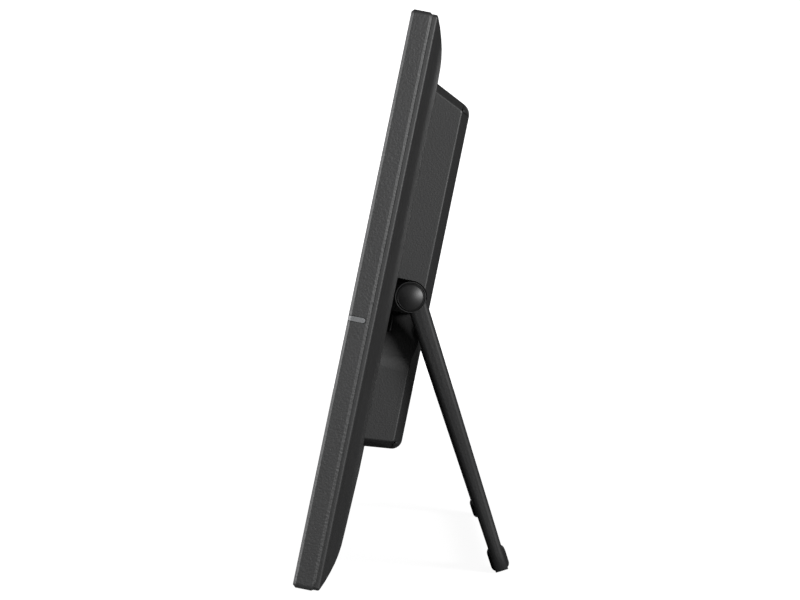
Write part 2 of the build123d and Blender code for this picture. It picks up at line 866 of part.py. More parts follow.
# Friction washers, two on the inside of each ear
with BuildPart() as friction_washers:
    for side, _ in HANDS:
        for place in range(2):
            with BuildSketch(SIDE.offset(side * (ear_inner - place * washer_thickness))):
                with Locations((hinge_depth, hinge_height)):
                    Circle(washer_radius - place)
                    Circle(shaft_radius + shaft_fit, mode=Mode.SUBTRACT)
            extrude(amount=-side * washer_thickness)
save(friction_washers, "friction_washers")
nut_outer = ear_inner - 2 * washer_thickness

# Hinge nuts, which turn with the shafts
with BuildPart() as hinge_nuts:
    for side, _ in HANDS:
        with BuildSketch(STAND.offset(side * nut_outer)):
            RegularPolygon(hinge_nut_across / 2, 6, major_radius=False)
            Circle(shaft_radius + shaft_fit, mode=Mode.SUBTRACT)
        extrude(amount=-side * hinge_nut_height)
save(hinge_nuts, "hinge_nuts")

# Hinge shafts, fixed in the legs
for side, hand in HANDS:
    with BuildPart() as hinge_shaft:
        with BuildSketch(STAND.offset(side * (ear_inner - shaft_tail))):
            Circle(shaft_radius)
        extrude(amount=side * (barrel_start + shaft_seat - ear_inner + shaft_tail))
        chamfer(hinge_shaft.edges().filter_by(GeomType.CIRCLE), shaft_radius / 8)
    save(hinge_shaft, f"hinge_shaft_{hand}")

# Legs: a tapered bar whose rear edge runs on from the knuckle, with a barrel into the pocket
foot_rear = leg_axis + leg_foot_width / 2
foot_front = leg_axis - leg_foot_width / 2
shoulder = (leg_rear_top, -sqrt(knuckle_radius**2 - leg_rear_top**2))
for side, hand in HANDS:
    with BuildPart() as leg:
        with BuildSketch(STAND.offset(side * leg_inner)):
            with BuildLine():
                Polyline(
                    shoulder,
                    (foot_rear, -leg_length),
                    (foot_front, -leg_length),
                    (-leg_front_top, -knuckle_radius / 2),
                    close=True,
                )
            make_face()
        extrude(amount=side * leg_width)
        skins = leg.faces().filter_by(Axis.X).sort_by(Axis.X)
        outer_skin = skins[-1] if side > 0 else skins[0]
        fillet(outer_skin.edges().sort_by(SortBy.LENGTH)[-2:], leg_outer_round)
        skins = leg.faces().filter_by(Axis.X).sort_by(Axis.X)
        inner_skin = skins[0] if side > 0 else skins[-1]
        fillet(inner_skin.edges().sort_by(SortBy.LENGTH)[-2:], leg_inner_round)
        with BuildSketch(STAND.offset(side * barrel_start)):
            Circle(knuckle_radius)
        extrude(amount=side * (leg_outer - barrel_start))
        with BuildSketch(STAND.offset(side * barrel_start)):
            Circle(shaft_radius + shaft_fit)
        extrude(amount=side * shaft_seat, mode=Mode.SUBTRACT)
        with BuildSketch(STAND.offset(side * leg_outer)):
            Circle(cap_radius + cap_fit)
        extrude(amount=-side * cap_seat, mode=Mode.SUBTRACT)
        with BuildSketch(STAND.offset(side * leg_inner)):
            with Locations((leg_axis, -boot_reach)):
                RectangleRounded(bar_across + 2 * bar_fit, bar_along + 2 * bar_fit, bar_corner)
        extrude(amount=side * bar_socket, mode=Mode.SUBTRACT)
    save(leg, f"leg_{hand}")

# Pivot caps: a disc in the knuckle's recess, a narrow bevel and a dome
for side, hand in HANDS:
    with BuildPart() as pivot_cap:
        with BuildSketch(Plane(origin=STAND.origin, x_dir=(side, 0, 0), z_dir=(0, cos_leg, sin_leg))):
            with BuildLine():
                Polyline(
                    (leg_outer, cap_radius),
                    (leg_outer - cap_seat, cap_radius),
                    (leg_outer - cap_seat, 0),
                    (leg_outer + cap_rise, 0),
                )
                TangentArc(
                    (leg_outer + cap_rise, 0),
                    (leg_outer + cap_rim, cap_radius - cap_land),
                    tangent=(0, 1),
                )
                Line((leg_outer + cap_rim, cap_radius - cap_land), (leg_outer, cap_radius))
            make_face()
        revolve(axis=Axis(STAND.origin, (1, 0, 0)))
    save(pivot_cap, f"pivot_cap_{hand}")

# Crossbar, its ends in the legs' sockets
with BuildPart() as crossbar:
    with BuildSketch(STAND.offset(-leg_inner - bar_socket)):
        with Locations((leg_axis, -boot_reach)):
            RectangleRounded(bar_across, bar_along, bar_corner)
    extrude(amount=2 * (leg_inner + bar_socket))
save(crossbar, "crossbar")

# Foot boots, rubber sleeves on the crossbar against the legs
for side, hand in HANDS:
    with BuildPart() as foot_boot:
        with BuildSketch(STAND.offset(side * leg_inner)):
            with Locations((leg_axis, -boot_reach)):
                RectangleRounded(boot_across, boot_along, boot_corner)
        extrude(amount=-side * boot_length)
        ends = foot_boot.faces().filter_by(Axis.X)
        fillet(ends.edges(), boot_edge)
        with BuildSketch(STAND.offset(side * leg_inner)):
            with Locations((leg_axis, -boot_reach)):
                RectangleRounded(bar_across + 2 * bar_fit, bar_along + 2 * bar_fit, bar_corner)
        extrude(amount=-side * boot_length, mode=Mode.SUBTRACT)
    save(foot_boot, f"foot_boot_{hand}")

# Main board, with holes for its screws and clear of the mount standoffs
with BuildPart() as main_board:
    with BuildSketch(at_depth(board_front)):
        with Locations((0, board_middle)):
            Rectangle(board_width, board_height)
        with Locations(*board_spots):
            Circle(screw_hole_radius, mode=Mode.SUBTRACT)
        with Locations(*mount_spots):
            Circle(mount_radius + mount_clearance, mode=Mode.SUBTRACT)
    extrude(amount=-board_thickness)
save(main_board, "main_board")

# Board standoffs
with BuildPart() as board_standoffs:
    with BuildSketch(at_depth(chassis_rear)):
        with Locations(*board_spots):
            RegularPolygon(standoff_radius, 6, major_radius=False)
            Circle(standoff_hole_radius, mode=Mode.SUBTRACT)
    extrude(amount=chassis_rear - board_front)
save(board_standoffs, "board_standoffs")

board_screws = pan_screws(board_spots, board_rear, small_head, (small_shank_radius, board_screw_length), -1)
save(board_screws, "board_screws")

# Processor under its heat sink
chip_spot = (0, board_low + processor_low)
with BuildPart() as processor:
    with BuildSketch(at_depth(board_rear)):
        with Locations(chip_spot):
            Rectangle(processor_size, processor_size)
    extrude(amount=-processor_height)
save(processor, "processor")

sink_front = board_rear + processor_height
with BuildPart() as heat_sink:
    with BuildSketch(at_depth(sink_front)):
        with Locations(chip_spot):
            Rectangle(sink_size, sink_size)
    extrude(amount=-sink_height)
    with BuildSketch(at_depth(sink_front + sink_base)):
        with Locations(chip_spot):
            with GridLocations(sink_size / sink_fins, 1, sink_fins - 1, 1):
                Rectangle(fin_gap, sink_size)
    extrude(amount=sink_base - sink_height, mode=Mode.SUBTRACT)
save(heat_sink, "heat_sink")

# Memory chips, in a row beside the processor
with BuildPart() as memory_chips:
    with BuildSketch(at_depth(board_rear)):
        with Locations((0, board_low + board_height - memory_height)):
            with GridLocations(memory_pitch, 1, memory_count, 1):
                Rectangle(memory_width, memory_height)
    extrude(amount=-memory_thickness)
save(memory_chips, "memory_chips")

# Wireless module
with BuildPart() as wireless_module:
    with BuildSketch(at_depth(board_rear)):
        with Locations((wireless_x, board_low + processor_low)):
            RectangleRounded(wireless_width, wireless_height, wireless_corner)
    extrude(amount=-wireless_thickness)
save(wireless_module, "wireless_module")

# Clock cell in its holder
clock_spot = (cell_x, board_low + processor_low)
with BuildPart() as cell_holder:
    with BuildSketch(at_depth(board_rear)):
        with Locations(clock_spot):
            Circle(clock_cell_radius + holder_wall)
    extrude(amount=-holder_height)
    with BuildSketch(at_depth(board_rear + holder_height - clock_cell_height)):
        with Locations(clock_spot):
            Circle(clock_cell_radius + holder_fit)
    extrude(amount=-clock_cell_height, mode=Mode.SUBTRACT)
save(cell_holder, "cell_holder")

with BuildPart() as clock_cell:
    with BuildSketch(at_depth(board_rear + holder_height - clock_cell_height)):
        with Locations(clock_spot):
            Circle(clock_cell_radius)
    extrude(amount=-clock_cell_height)
save(clock_cell, "clock_cell")


def shell_sockets(spots, size, wall, tongue):
    """Metal shells open at the mouth, each with a contact tongue; size is (across, tall, long)."""
    across, tall, long = size
    tongue_across, tongue_tall = tongue
    spots = [(x, board_rear + tall / 2) for x in spots]
    with BuildPart() as sockets:
        with BuildSketch(at_height(port_mouth)):
            with Locations(*spots):
                Rectangle(across, tall)
        extrude(amount=long)
        with BuildSketch(at_height(port_mouth)):
            with Locations(*spots):
                Rectangle(across - 2 * wall, tall - 2 * wall)
        extrude(amount=long - wall, mode=Mode.SUBTRACT)
        with BuildSketch(at_height(port_mouth + wall)):
            with Locations(*spots):
                Rectangle(tongue_across, tongue_tall)
        extrude(amount=long - wall)
    return sockets


hdmi_socket = shell_sockets(
    [hdmi_x], (hdmi_width, hdmi_height, hdmi_length), hdmi_wall, (hdmi_tongue_width, hdmi_tongue)
)
save(hdmi_socket, "hdmi_socket")

usb_sockets = shell_sockets(
    [usb_left_x, usb_right_x], (usb_width, usb_height, usb_length), usb_wall, (usb_tongue_width, usb_tongue)
)
save(usb_sockets, "usb_sockets")

# Card slot
with BuildPart() as card_slot:
    with BuildSketch(at_height(port_mouth)):
        with Locations((card_x, board_rear + card_height / 2)):
            Rectangle(card_width, card_height)
    extrude(amount=card_length)
    with BuildSketch(at_height(port_mouth)):
        with Locations((card_x, board_rear + card_height / 2)):
            Rectangle(card_width - 2 * card_side, card_height - 2 * card_wall)
    extrude(amount=card_length - card_wall, mode=Mode.SUBTRACT)
save(card_slot, "card_slot")

# Audio jack
with BuildPart() as audio_jack:
    with BuildSketch(at_height(port_mouth)):
        with Locations((audio_x, board_rear + audio_height / 2)):
            Rectangle(audio_width, audio_height)
    extrude(amount=audio_length)
    with BuildSketch(at_height(port_mouth)):
        with Locations((audio_x, board_rear + audio_height / 2)):
            Circle(audio_bore)
    extrude(amount=audio_bore_depth, mode=Mode.SUBTRACT)
save(audio_jack, "audio_jack")

# DC jack, with its centre pin
with BuildPart() as dc_jack:
    with BuildSketch(at_height(port_mouth)):
        with Locations((dc_x, board_rear + dc_height / 2)):
            Rectangle(dc_width, dc_height)
    extrude(amount=dc_length)
    with BuildSketch(at_height(port_mouth)):
        with Locations((dc_x, board_rear + dc_height / 2)):
            Circle(dc_bore)
            Circle(dc_pin, mode=Mode.SUBTRACT)
    extrude(amount=dc_bore_depth, mode=Mode.SUBTRACT)
save(dc_jack, "dc_jack")

# LCD ribbon, from the timing board up to the front of the main board
timing_rear = chassis_front + board_thickness
ribbon_low = timing_rear + ribbon_thickness / 2
ribbon_high = board_front - ribbon_thickness / 2
with BuildPart() as lcd_ribbon:
    with BuildSketch(SIDE.offset(ribbon_x - ribbon_width / 2)):
        with BuildLine() as ribbon_path:
            FilletPolyline(
                (ribbon_low, timing_low + timing_height / 2),
                (ribbon_low, timing_low + timing_height),
                (ribbon_high, board_low + ribbon_bend),
                (ribbon_high, board_low + ribbon_lap),
                radius=ribbon_bend,
            )
        trace(ribbon_path.edges(), line_width=ribbon_thickness)
    extrude(amount=ribbon_width)
save(lcd_ribbon, "lcd_ribbon")

# Speakers: flange, basket and magnet in one, hollowed for the cone
cone_slope = degrees(atan2(cone_radius - cone_floor, cone_depth))
for side, hand in HANDS:
    spot = (side * speaker_x, speaker_height)
    ears = [place for place in speaker_spots if place[0] * side > 0]
    with BuildPart() as speaker:
        with BuildSketch(at_depth(speaker_seat)):
            with Locations(spot):
                RectangleRounded(speaker_width, speaker_length, speaker_corner)
            with Locations(*ears):
                Circle(small_pilot_radius, mode=Mode.SUBTRACT)
        extrude(amount=speaker_flange)
        with BuildSketch(at_depth(speaker_front)):
            with Locations(spot):
                Circle(basket_radius)
        extrude(amount=basket_depth, taper=basket_draft)
        with BuildSketch(at_depth(speaker_front - basket_depth)):
            with Locations(spot):
                Circle(magnet_radius)
        extrude(amount=magnet_depth)
        with BuildSketch(at_depth(speaker_seat)):
            with Locations(spot):
                Circle(cone_radius)
        extrude(amount=cone_depth, taper=cone_slope, mode=Mode.SUBTRACT)
    save(speaker, f"speaker_{hand}")

# Speaker gaskets, foam rings between the flanges and the rear wall
gasket_room_width = speaker_width - 2 * gasket_ring
gasket_room_height = gasket_outer - 2 * gasket_ring
with BuildPart() as speaker_gaskets:
    with BuildSketch(at_depth(speaker_seat)):
        with Locations((-speaker_x, speaker_height), (speaker_x, speaker_height)):
            RectangleRounded(speaker_width, gasket_outer, speaker_corner)
            RectangleRounded(gasket_room_width, gasket_room_height, speaker_corner / 2, mode=Mode.SUBTRACT)
    extrude(amount=-speaker_gasket)
save(speaker_gaskets, "speaker_gaskets")

speaker_screws = pan_screws(
    speaker_spots,
    speaker_front,
    small_head,
    (small_shank_radius, speaker_flange + speaker_gasket + cover_wall / 2),
    1,
)
save(speaker_screws, "speaker_screws")

# Key board, screwed to two posts of the back cover, and its switches
with BuildPart() as key_board:
    with BuildSketch(at_depth(key_board_front)):
        with Locations((key_x, key_middle)):
            Rectangle(key_board_width, key_board_height)
        with Locations(*key_post_spots):
            Circle(small_pilot_radius, mode=Mode.SUBTRACT)
    extrude(amount=-key_board_thickness)
save(key_board, "key_board")

with BuildPart() as key_switches:
    with BuildSketch(at_depth(key_board_rear)):
        with Locations(*key_spots):
            Rectangle(switch_size, switch_size)
    extrude(amount=-switch_height)
save(key_switches, "key_switches")

key_screws = pan_screws(
    key_post_spots,
    key_board_front,
    small_head,
    (small_shank_radius, inner_back - key_board_front),
    1,
)
save(key_screws, "key_screws")

# Keys: a dished cap through the back cover, a flange that keeps it in and a stem over the switch
flange_rear = inner_back - key_play
flange_front = flange_rear - key_flange
for name, spot in zip(key_names, key_spots):
    with BuildPart() as key:
        with BuildSketch(at_depth(flange_front)):
            with Locations(spot):
                Circle(key_flange_radius)
        extrude(amount=-key_flange)
        with BuildSketch(at_depth(flange_rear)):
            with Locations(spot):
                Circle(key_radius)
        extrude(amount=flange_rear - back_depth - key_proud)
        with BuildSketch(at_depth(flange_front)):
            with Locations(spot):
                Circle(key_stem_radius)
        extrude(amount=key_stem)
        crown = key.faces().sort_by(TO_VIEWER)[0]
        fillet(crown.edges(), key_dish)
    save(key, name)
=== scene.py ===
import json
import math

import bmesh
import bpy
from mathutils import Matrix, Vector


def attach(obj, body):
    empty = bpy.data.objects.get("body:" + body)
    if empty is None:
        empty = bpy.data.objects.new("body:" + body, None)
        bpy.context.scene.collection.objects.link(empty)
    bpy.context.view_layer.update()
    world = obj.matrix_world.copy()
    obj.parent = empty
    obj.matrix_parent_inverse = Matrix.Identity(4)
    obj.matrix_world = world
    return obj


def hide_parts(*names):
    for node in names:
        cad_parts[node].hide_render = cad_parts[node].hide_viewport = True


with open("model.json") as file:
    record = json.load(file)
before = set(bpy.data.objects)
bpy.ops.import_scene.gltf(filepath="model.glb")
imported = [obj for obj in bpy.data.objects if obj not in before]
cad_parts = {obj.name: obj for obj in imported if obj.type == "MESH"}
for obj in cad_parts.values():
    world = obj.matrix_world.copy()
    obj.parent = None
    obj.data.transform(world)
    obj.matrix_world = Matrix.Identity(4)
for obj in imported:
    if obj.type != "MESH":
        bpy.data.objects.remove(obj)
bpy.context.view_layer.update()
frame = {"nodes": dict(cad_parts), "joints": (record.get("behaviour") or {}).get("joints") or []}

# Directions
# The panel leans back, so its pieces are laid out across, rearward from the front face and upward
# from the bottom edge. The stand's pieces run across, rearward and up along the legs.
nodes = frame["nodes"]
joints = {joint["name"]: joint for joint in frame["joints"]}
across = Vector((1, 0, 0))
rearward = -Vector(joints["power_press"]["axis"])
upward = across.cross(rearward)
lean = math.asin(upward.y)
panel = Matrix((across, rearward, upward)).transposed().to_4x4()
opened = math.radians(-joints["stand_hinge"]["range_deg"][0])
stand = Matrix.Rotation(opened, 4, "X") @ panel
stand.translation = joints["stand_hinge"]["pos_m"]
rim_points = [panel.inverted() @ vertex.co for vertex in nodes["front_frame"].data.vertices]
panel.translation = panel @ Vector((0, min(p.y for p in rim_points), min(p.z for p in rim_points)))


def spans(place, *names):
    """Box of CAD nodes in the directions of a place: (low, high) across, rearward and upward."""
    points = [place.inverted() @ vertex.co for name in names for vertex in nodes[name].data.vertices]
    return [(min(axis), max(axis)) for axis in zip(*points)]


# Front frame
# A broad black rim round the screen, moulded in ABS with a fine spark-eroded grain. Its outer edges
# are chamfered front and back, and the window is bevelled towards the glass.
def add_node(tree, kind, inputs=(), **settings):
    """New node in a tree. Each input is a value, or the socket that feeds it."""
    node = tree.nodes.new(kind)
    for key, value in settings.items():
        setattr(node, key, value)
    for key, value in dict(inputs).items():
        if isinstance(value, bpy.types.NodeSocket):
            tree.links.new(value, node.inputs[key])
        else:
            node.inputs[key].default_value = value
    return node


def new_group(name, inputs, outputs):
    """New shader node group with its two end nodes."""
    tree = bpy.data.node_groups.new(name, "ShaderNodeTree")
    for way, sockets in (("INPUT", inputs), ("OUTPUT", outputs)):
        for label, kind in sockets:
            tree.interface.new_socket(label, in_out=way, socket_type=kind)
    return tree, add_node(tree, "NodeGroupInput"), add_node(tree, "NodeGroupOutput")


def spread_range(tree, value, low, high, floor=0.0, ceiling=1.0):
    """A value stretched from one range to another and held inside it."""
    levels = {"Value": value, "From Min": low, "From Max": high, "To Min": floor, "To Max": ceiling}
    return add_node(tree, "ShaderNodeMapRange", levels).outputs["Result"]


def multiply(tree, first, second):
    return add_node(tree, "ShaderNodeMath", {0: first, 1: second}, operation="MULTIPLY").outputs[0]


def blend(tree, factor, first, second):
    """Colour between two colours, or between two colour sockets."""
    mix = add_node(tree, "ShaderNodeMix", {0: factor, 6: first, 7: second}, data_type="RGBA")
    return mix.outputs[2]


grain_group, given, result = new_group(
    "surface_grain",
    (("Grain Size", "NodeSocketFloat"), ("Stretch", "NodeSocketVector")),
    (("Height", "NodeSocketFloat"), ("Speckle", "NodeSocketFloat"), ("Mottle", "NodeSocketFloat")),
)
place = add_node(grain_group, "ShaderNodeTexCoord").outputs["Object"]
per_grain = add_node(grain_group, "ShaderNodeMath", {0: 1.0, 1: given.outputs[0]}, operation="DIVIDE")
stretched = add_node(
    grain_group, "ShaderNodeVectorMath", {0: place, 1: given.outputs[1]}, operation="MULTIPLY"
)
fine = add_node(
    grain_group,
    "ShaderNodeVectorMath",
    {0: stretched.outputs[0], "Scale": per_grain.outputs[0]},
    operation="SCALE",
).outputs[0]
cells = add_node(grain_group, "ShaderNodeTexVoronoi", {"Vector": fine, "Scale": 1.0}, feature="SMOOTH_F1")
dots = add_node(grain_group, "ShaderNodeTexNoise", {"Vector": fine, "Scale": 0.8, "Detail": 2.0})
clouds = add_node(grain_group, "ShaderNodeTexNoise", {"Vector": place, "Scale": 55.0, "Detail": 3.0})
peaks = add_node(
    grain_group, "ShaderNodeMath", {0: cells.outputs["Distance"], 1: dots.outputs["Fac"]}, operation="ADD"
)
grain_group.links.new(peaks.outputs[0], result.inputs["Height"])
grain_group.links.new(spread_range(grain_group, dots.outputs["Fac"], 0.3, 0.7), result.inputs["Speckle"])
grain_group.links.new(spread_range(grain_group, clouds.outputs["Fac"], 0.3, 0.7), result.inputs["Mottle"])

use_group, given, result = new_group(
    "signs_of_use", (), (("Dust", "NodeSocketFloat"), ("Smear", "NodeSocketFloat"))
)
place = add_node(use_group, "ShaderNodeTexCoord").outputs["Object"]
facing = add_node(use_group, "ShaderNodeNewGeometry").outputs["Normal"]
tilt = add_node(use_group, "ShaderNodeSeparateXYZ", {0: facing}).outputs["Z"]
specks = add_node(use_group, "ShaderNodeTexNoise", {"Vector": place, "Scale": 900.0, "Detail": 2.0})
wipes = add_node(
    use_group, "ShaderNodeMapping", {"Vector": place, "Rotation": (0.5, 0.3, 0.4), "Scale": (1, 4, 1)}
)
smears = add_node(use_group, "ShaderNodeTexNoise", {"Vector": wipes.outputs[0], "Scale": 22.0, "Detail": 4.0})
upturned = spread_range(use_group, tilt, 0.25, 0.95)
settled = multiply(use_group, upturned, spread_range(use_group, specks.outputs["Fac"], 0.45, 0.7))
use_group.links.new(settled, result.inputs["Dust"])
use_group.links.new(spread_range(use_group, smears.outputs["Fac"], 0.35, 0.65), result.inputs["Smear"])


def surface(name, dark, light, rough, grain, relief, stretch=(1, 1, 1), dust=0.0, **constants):
    """Material of two close colours broken up by grain, with uneven gloss and settled dust."""
    material = bpy.data.materials.new(name)
    material.use_nodes = True
    tree = material.node_tree
    shader = tree.nodes["Principled BSDF"]
    for key, value in constants.items():
        shader.inputs[key.replace("_", " ")].default_value = value
    look = add_node(tree, "ShaderNodeGroup", {"Grain Size": grain, "Stretch": stretch}, node_tree=grain_group)
    use = add_node(tree, "ShaderNodeGroup", node_tree=use_group)
    broken = add_node(tree, "ShaderNodeMix", {0: 0.25, 2: look.outputs["Speckle"], 3: look.outputs["Mottle"]})
    colour = blend(tree, broken.outputs[0], (*dark, 1), (*light, 1))
    dusty = blend(tree, multiply(tree, use.outputs["Dust"], dust), colour, (0.42, 0.41, 0.39, 1))
    tree.links.new(dusty, shader.inputs["Base Color"])
    tree.links.new(spread_range(tree, use.outputs["Smear"], 0, 1, *rough), shader.inputs["Roughness"])
    heights = {"Strength": 1.0, "Distance": relief, "Height": look.outputs["Height"]}
    bump = add_node(tree, "ShaderNodeBump", heights)
    tree.links.new(bump.outputs[0], shader.inputs["Normal"])
    return material


def eased(node, place, radius, least, chosen, shape=None):
    """Merged copy of a CAD node in a place's directions. Its chosen hard edges are rounded off, apart
    from those shorter than the least length, and nothing leaves its own box."""
    bm = bmesh.new()
    bm.from_mesh(nodes[node].data)
    bmesh.ops.remove_doubles(bm, verts=bm.verts, dist=2e-6)
    bmesh.ops.dissolve_limit(bm, angle_limit=math.radians(0.3), verts=bm.verts, edges=bm.edges)
    bm.transform(place.inverted())
    if shape:
        shape(bm)
    hard = [edge for edge in bm.edges if edge.calc_face_angle(0) > math.radians(20)]
    picked = []
    for edge in hard:
        middle = (edge.verts[0].co + edge.verts[1].co) / 2
        edge.smooth = edge.calc_length() > least and chosen(middle)
        if edge.smooth:
            picked.append(edge)
    ends = [[end(vertex.co[axis] for vertex in bm.verts) for end in (min, max)] for axis in range(3)]
    bevel = {"offset": radius, "segments": 3, "profile": 0.5, "affect": "EDGES", "clamp_overlap": False}
    bmesh.ops.bevel(bm, geom=picked, **bevel)
    for vertex in bm.verts:
        vertex.co = [min(max(value, low), high) for value, (low, high) in zip(vertex.co, ends)]
    return bm


def make_piece(name, bm, place, material, body, slot, *replaced):
    """Turns a built mesh into a piece of the object that rides on a body, its flat faces kept flat."""
    bm.transform(place)
    for face in bm.faces:
        face.smooth = True
    mesh = bpy.data.meshes.new(name)
    bm.to_mesh(mesh)
    bm.free()
    mesh.materials.append(material)
    piece = bpy.data.objects.new(name, mesh)
    bpy.context.scene.collection.objects.link(piece)
    weigh = piece.modifiers.new("weigh", "WEIGHTED_NORMAL")
    weigh.keep_sharp = True
    seen = piece.evaluated_get(bpy.context.evaluated_depsgraph_get())
    piece.data = bpy.data.meshes.new_from_object(seen)
    piece.modifiers.clear()
    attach(piece, body)
    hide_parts(*replaced)
    return piece


(frame_left, frame_right), (_, frame_rear), (_, frame_top) = spans(panel, "front_frame")
lens_right = spans(panel, "cover_lens")[0][1]
corner_reach = 0.0022
chamfer_step = 0.00075
edge_reach = 0.0018
window_lap = 0.002
window_depth = 0.003
grained = surface(
    "grained_black",
    dark=(0.005, 0.0051, 0.0053),
    light=(0.013, 0.0132, 0.0138),
    rough=(0.54, 0.59),
    grain=0.0011,
    relief=0.00012,
    dust=0.04,
    Specular_IOR_Level=0.85,
)


def inset(point):
    """How far a point lies inside the frame's outer edge."""
    return min(frame_right - abs(point.x), point.z, frame_top - point.z)


def outward(point, step):
    """A point near the outer edge moved out by a step, away from the side that it is nearest to."""
    gaps = (frame_right - point.x, point.x - frame_left, frame_top - point.z, point.z)
    x, y, z = point
    near = corner_reach + inset(point)
    if gaps[0] < near or gaps[1] < near:
        x += math.copysign(step, x)
    if gaps[2] < near or gaps[3] < near:
        z += math.copysign(step, z - frame_top / 2)
    return Vector((x, y, z))


def draw_out_chamfer(bm):
    """Leaves the rear chamfer half as high as it is deep."""
    for vertex in bm.verts:
        if vertex.co.y > frame_rear - 0.0001 and inset(vertex.co) < corner_reach:
            vertex.co = outward(vertex.co, chamfer_step)


def frame_edge(point):
    """True on the rim's outer edges and round the window."""
    lapped = inset(point) - frame_right + lens_right
    at_window = abs(lapped - window_lap) < window_lap and point.y < window_depth
    return inset(point) < edge_reach or at_window


make_piece(
    "rim_moulding",
    eased("front_frame", panel, 0.00035, 0.0001, frame_edge, draw_out_chamfer),
    panel,
    grained,
    "display",
    "grained_plastic",
    "front_frame",
)


# Display stack
# From the front: a sheet of cover glass, a foam gasket, the LCD cell, optical films, an acrylic light
# guide lit by a strip of LEDs along its lower edge, a reflector, and a folded steel tray behind.
def rounded(width, height, radius, steps=6):
    """Outline of a rounded rectangle about the middle, as (across, up) points."""
    points = []
    for quarter, (right, top) in enumerate(((1, 1), (-1, 1), (-1, -1), (1, -1))):
        for step in range(steps + 1):
            angle = math.radians(90 * (quarter + step / steps))
            u = right * (width / 2 - radius) + radius * math.cos(angle)
            v = top * (height / 2 - radius) + radius * math.sin(angle)
            points.append((u, v))
    return points


def loft(bm, loops, cyclic=False):
    """Skin over loops of equal length, closed with a face at each end or back to the first loop."""
    rows = [[bm.verts.new(point) for point in loop] for loop in loops]
    pairs = list(zip(rows, rows[1:]))
    if cyclic:
        pairs.append((rows[-1], rows[0]))
    faces = []
    for low, high in pairs:
        faces += [bm.faces.new((low[i - 1], low[i], high[i], high[i - 1])) for i in range(len(low))]
    if not cyclic:
        faces += [bm.faces.new(rows[0][::-1]), bm.faces.new(rows[-1])]
    bmesh.ops.recalc_face_normals(bm, faces=faces)
    for edge in {edge for face in faces for edge in face.edges}:
        edge.smooth = edge.calc_face_angle(0) < math.radians(40)


def dress(material, *names):
    """Gives CAD nodes that stay as they are a material."""
    for name in names:
        for slot in nodes[name].material_slots:
            slot.material = material


(glass_left, glass_right), (glass_front, glass_rear), (glass_low, glass_high) = spans(panel, "cover_lens")
lens_glass = surface(
    "dark_glass",
    dark=(0.006, 0.0065, 0.008),
    light=(0.009, 0.0095, 0.012),
    rough=(0.265, 0.285),
    grain=0.004,
    relief=0.000001,
    dust=0.01,
    Specular_IOR_Level=0.25,
)
glass_middle = (glass_low + glass_high) / 2
glass_corner = 0.0012
glass_bevel = 0.0004
glass_rows = ((glass_bevel, glass_front), (0, glass_front + glass_bevel))
glass_rows += ((0, glass_rear - glass_bevel), (glass_bevel, glass_rear))
bm = bmesh.new()
loops = []
for shrink, depth in glass_rows:
    width = glass_right - glass_left - 2 * shrink
    outline = rounded(width, glass_high - glass_low - 2 * shrink, glass_corner - shrink)
    loops.append([(u, depth, glass_middle + v) for u, v in outline])
loft(bm, loops)
make_piece("glass_sheet", bm, panel, lens_glass, "display", "lens_glass", "cover_lens")
foam = surface(
    "black_foam",
    dark=(0.012, 0.012, 0.012),
    light=(0.03, 0.03, 0.03),
    rough=(0.85, 0.95),
    grain=0.0004,
    relief=0.0002,
)
dress(foam, "lens_gasket", "speaker_gaskets")
cell_glass = surface(
    "display_cell",
    dark=(0.008, 0.008, 0.011),
    light=(0.013, 0.013, 0.018),
    rough=(0.12, 0.2),
    grain=0.0003,
    relief=0.000004,
    Coat_Weight=0.3,
)
dress(cell_glass, "lcd_cell")
film = surface(
    "milky_film",
    dark=(0.72, 0.73, 0.74),
    light=(0.82, 0.82, 0.81),
    rough=(0.3, 0.42),
    grain=0.001,
    relief=0.00001,
)
dress(film, "optical_films", "reflector_sheet")
acrylic = surface(
    "clear_acrylic",
    dark=(0.8, 0.83, 0.84),
    light=(0.88, 0.9, 0.9),
    rough=(0.05, 0.12),
    grain=0.0015,
    relief=0.000005,
    Transmission_Weight=0.8,
    IOR=1.49,
)
dress(acrylic, "light_guide")
zinc = surface(
    "zinc_steel",
    dark=(0.42, 0.43, 0.44),
    light=(0.56, 0.57, 0.58),
    rough=(0.3, 0.48),
    grain=0.003,
    relief=0.00002,
    Metallic=1.0,
)
dress(zinc, "backlight_tray")

board_group, given, result = new_group(
    "board_traces", (), (("Trace", "NodeSocketFloat"), ("Pad", "NodeSocketFloat"))
)
place = add_node(board_group, "ShaderNodeTexCoord").outputs["Object"]
level = add_node(board_group, "ShaderNodeMapping", {"Vector": place, "Rotation": (math.pi / 2 + lean, 0, 0)})
rows = add_node(
    board_group,
    "ShaderNodeTexBrick",
    {"Vector": level.outputs[0], "Scale": 160.0, "Mortar Size": 0.035, "Brick Width": 1.7, "Row Height": 0.4},
    offset_frequency=3,
)
points = add_node(board_group, "ShaderNodeTexVoronoi", {"Vector": level.outputs[0], "Scale": 260.0})
board_group.links.new(rows.outputs["Fac"], result.inputs["Trace"])
board_group.links.new(spread_range(board_group, points.outputs["Distance"], 0.16, 0.12), result.inputs["Pad"])

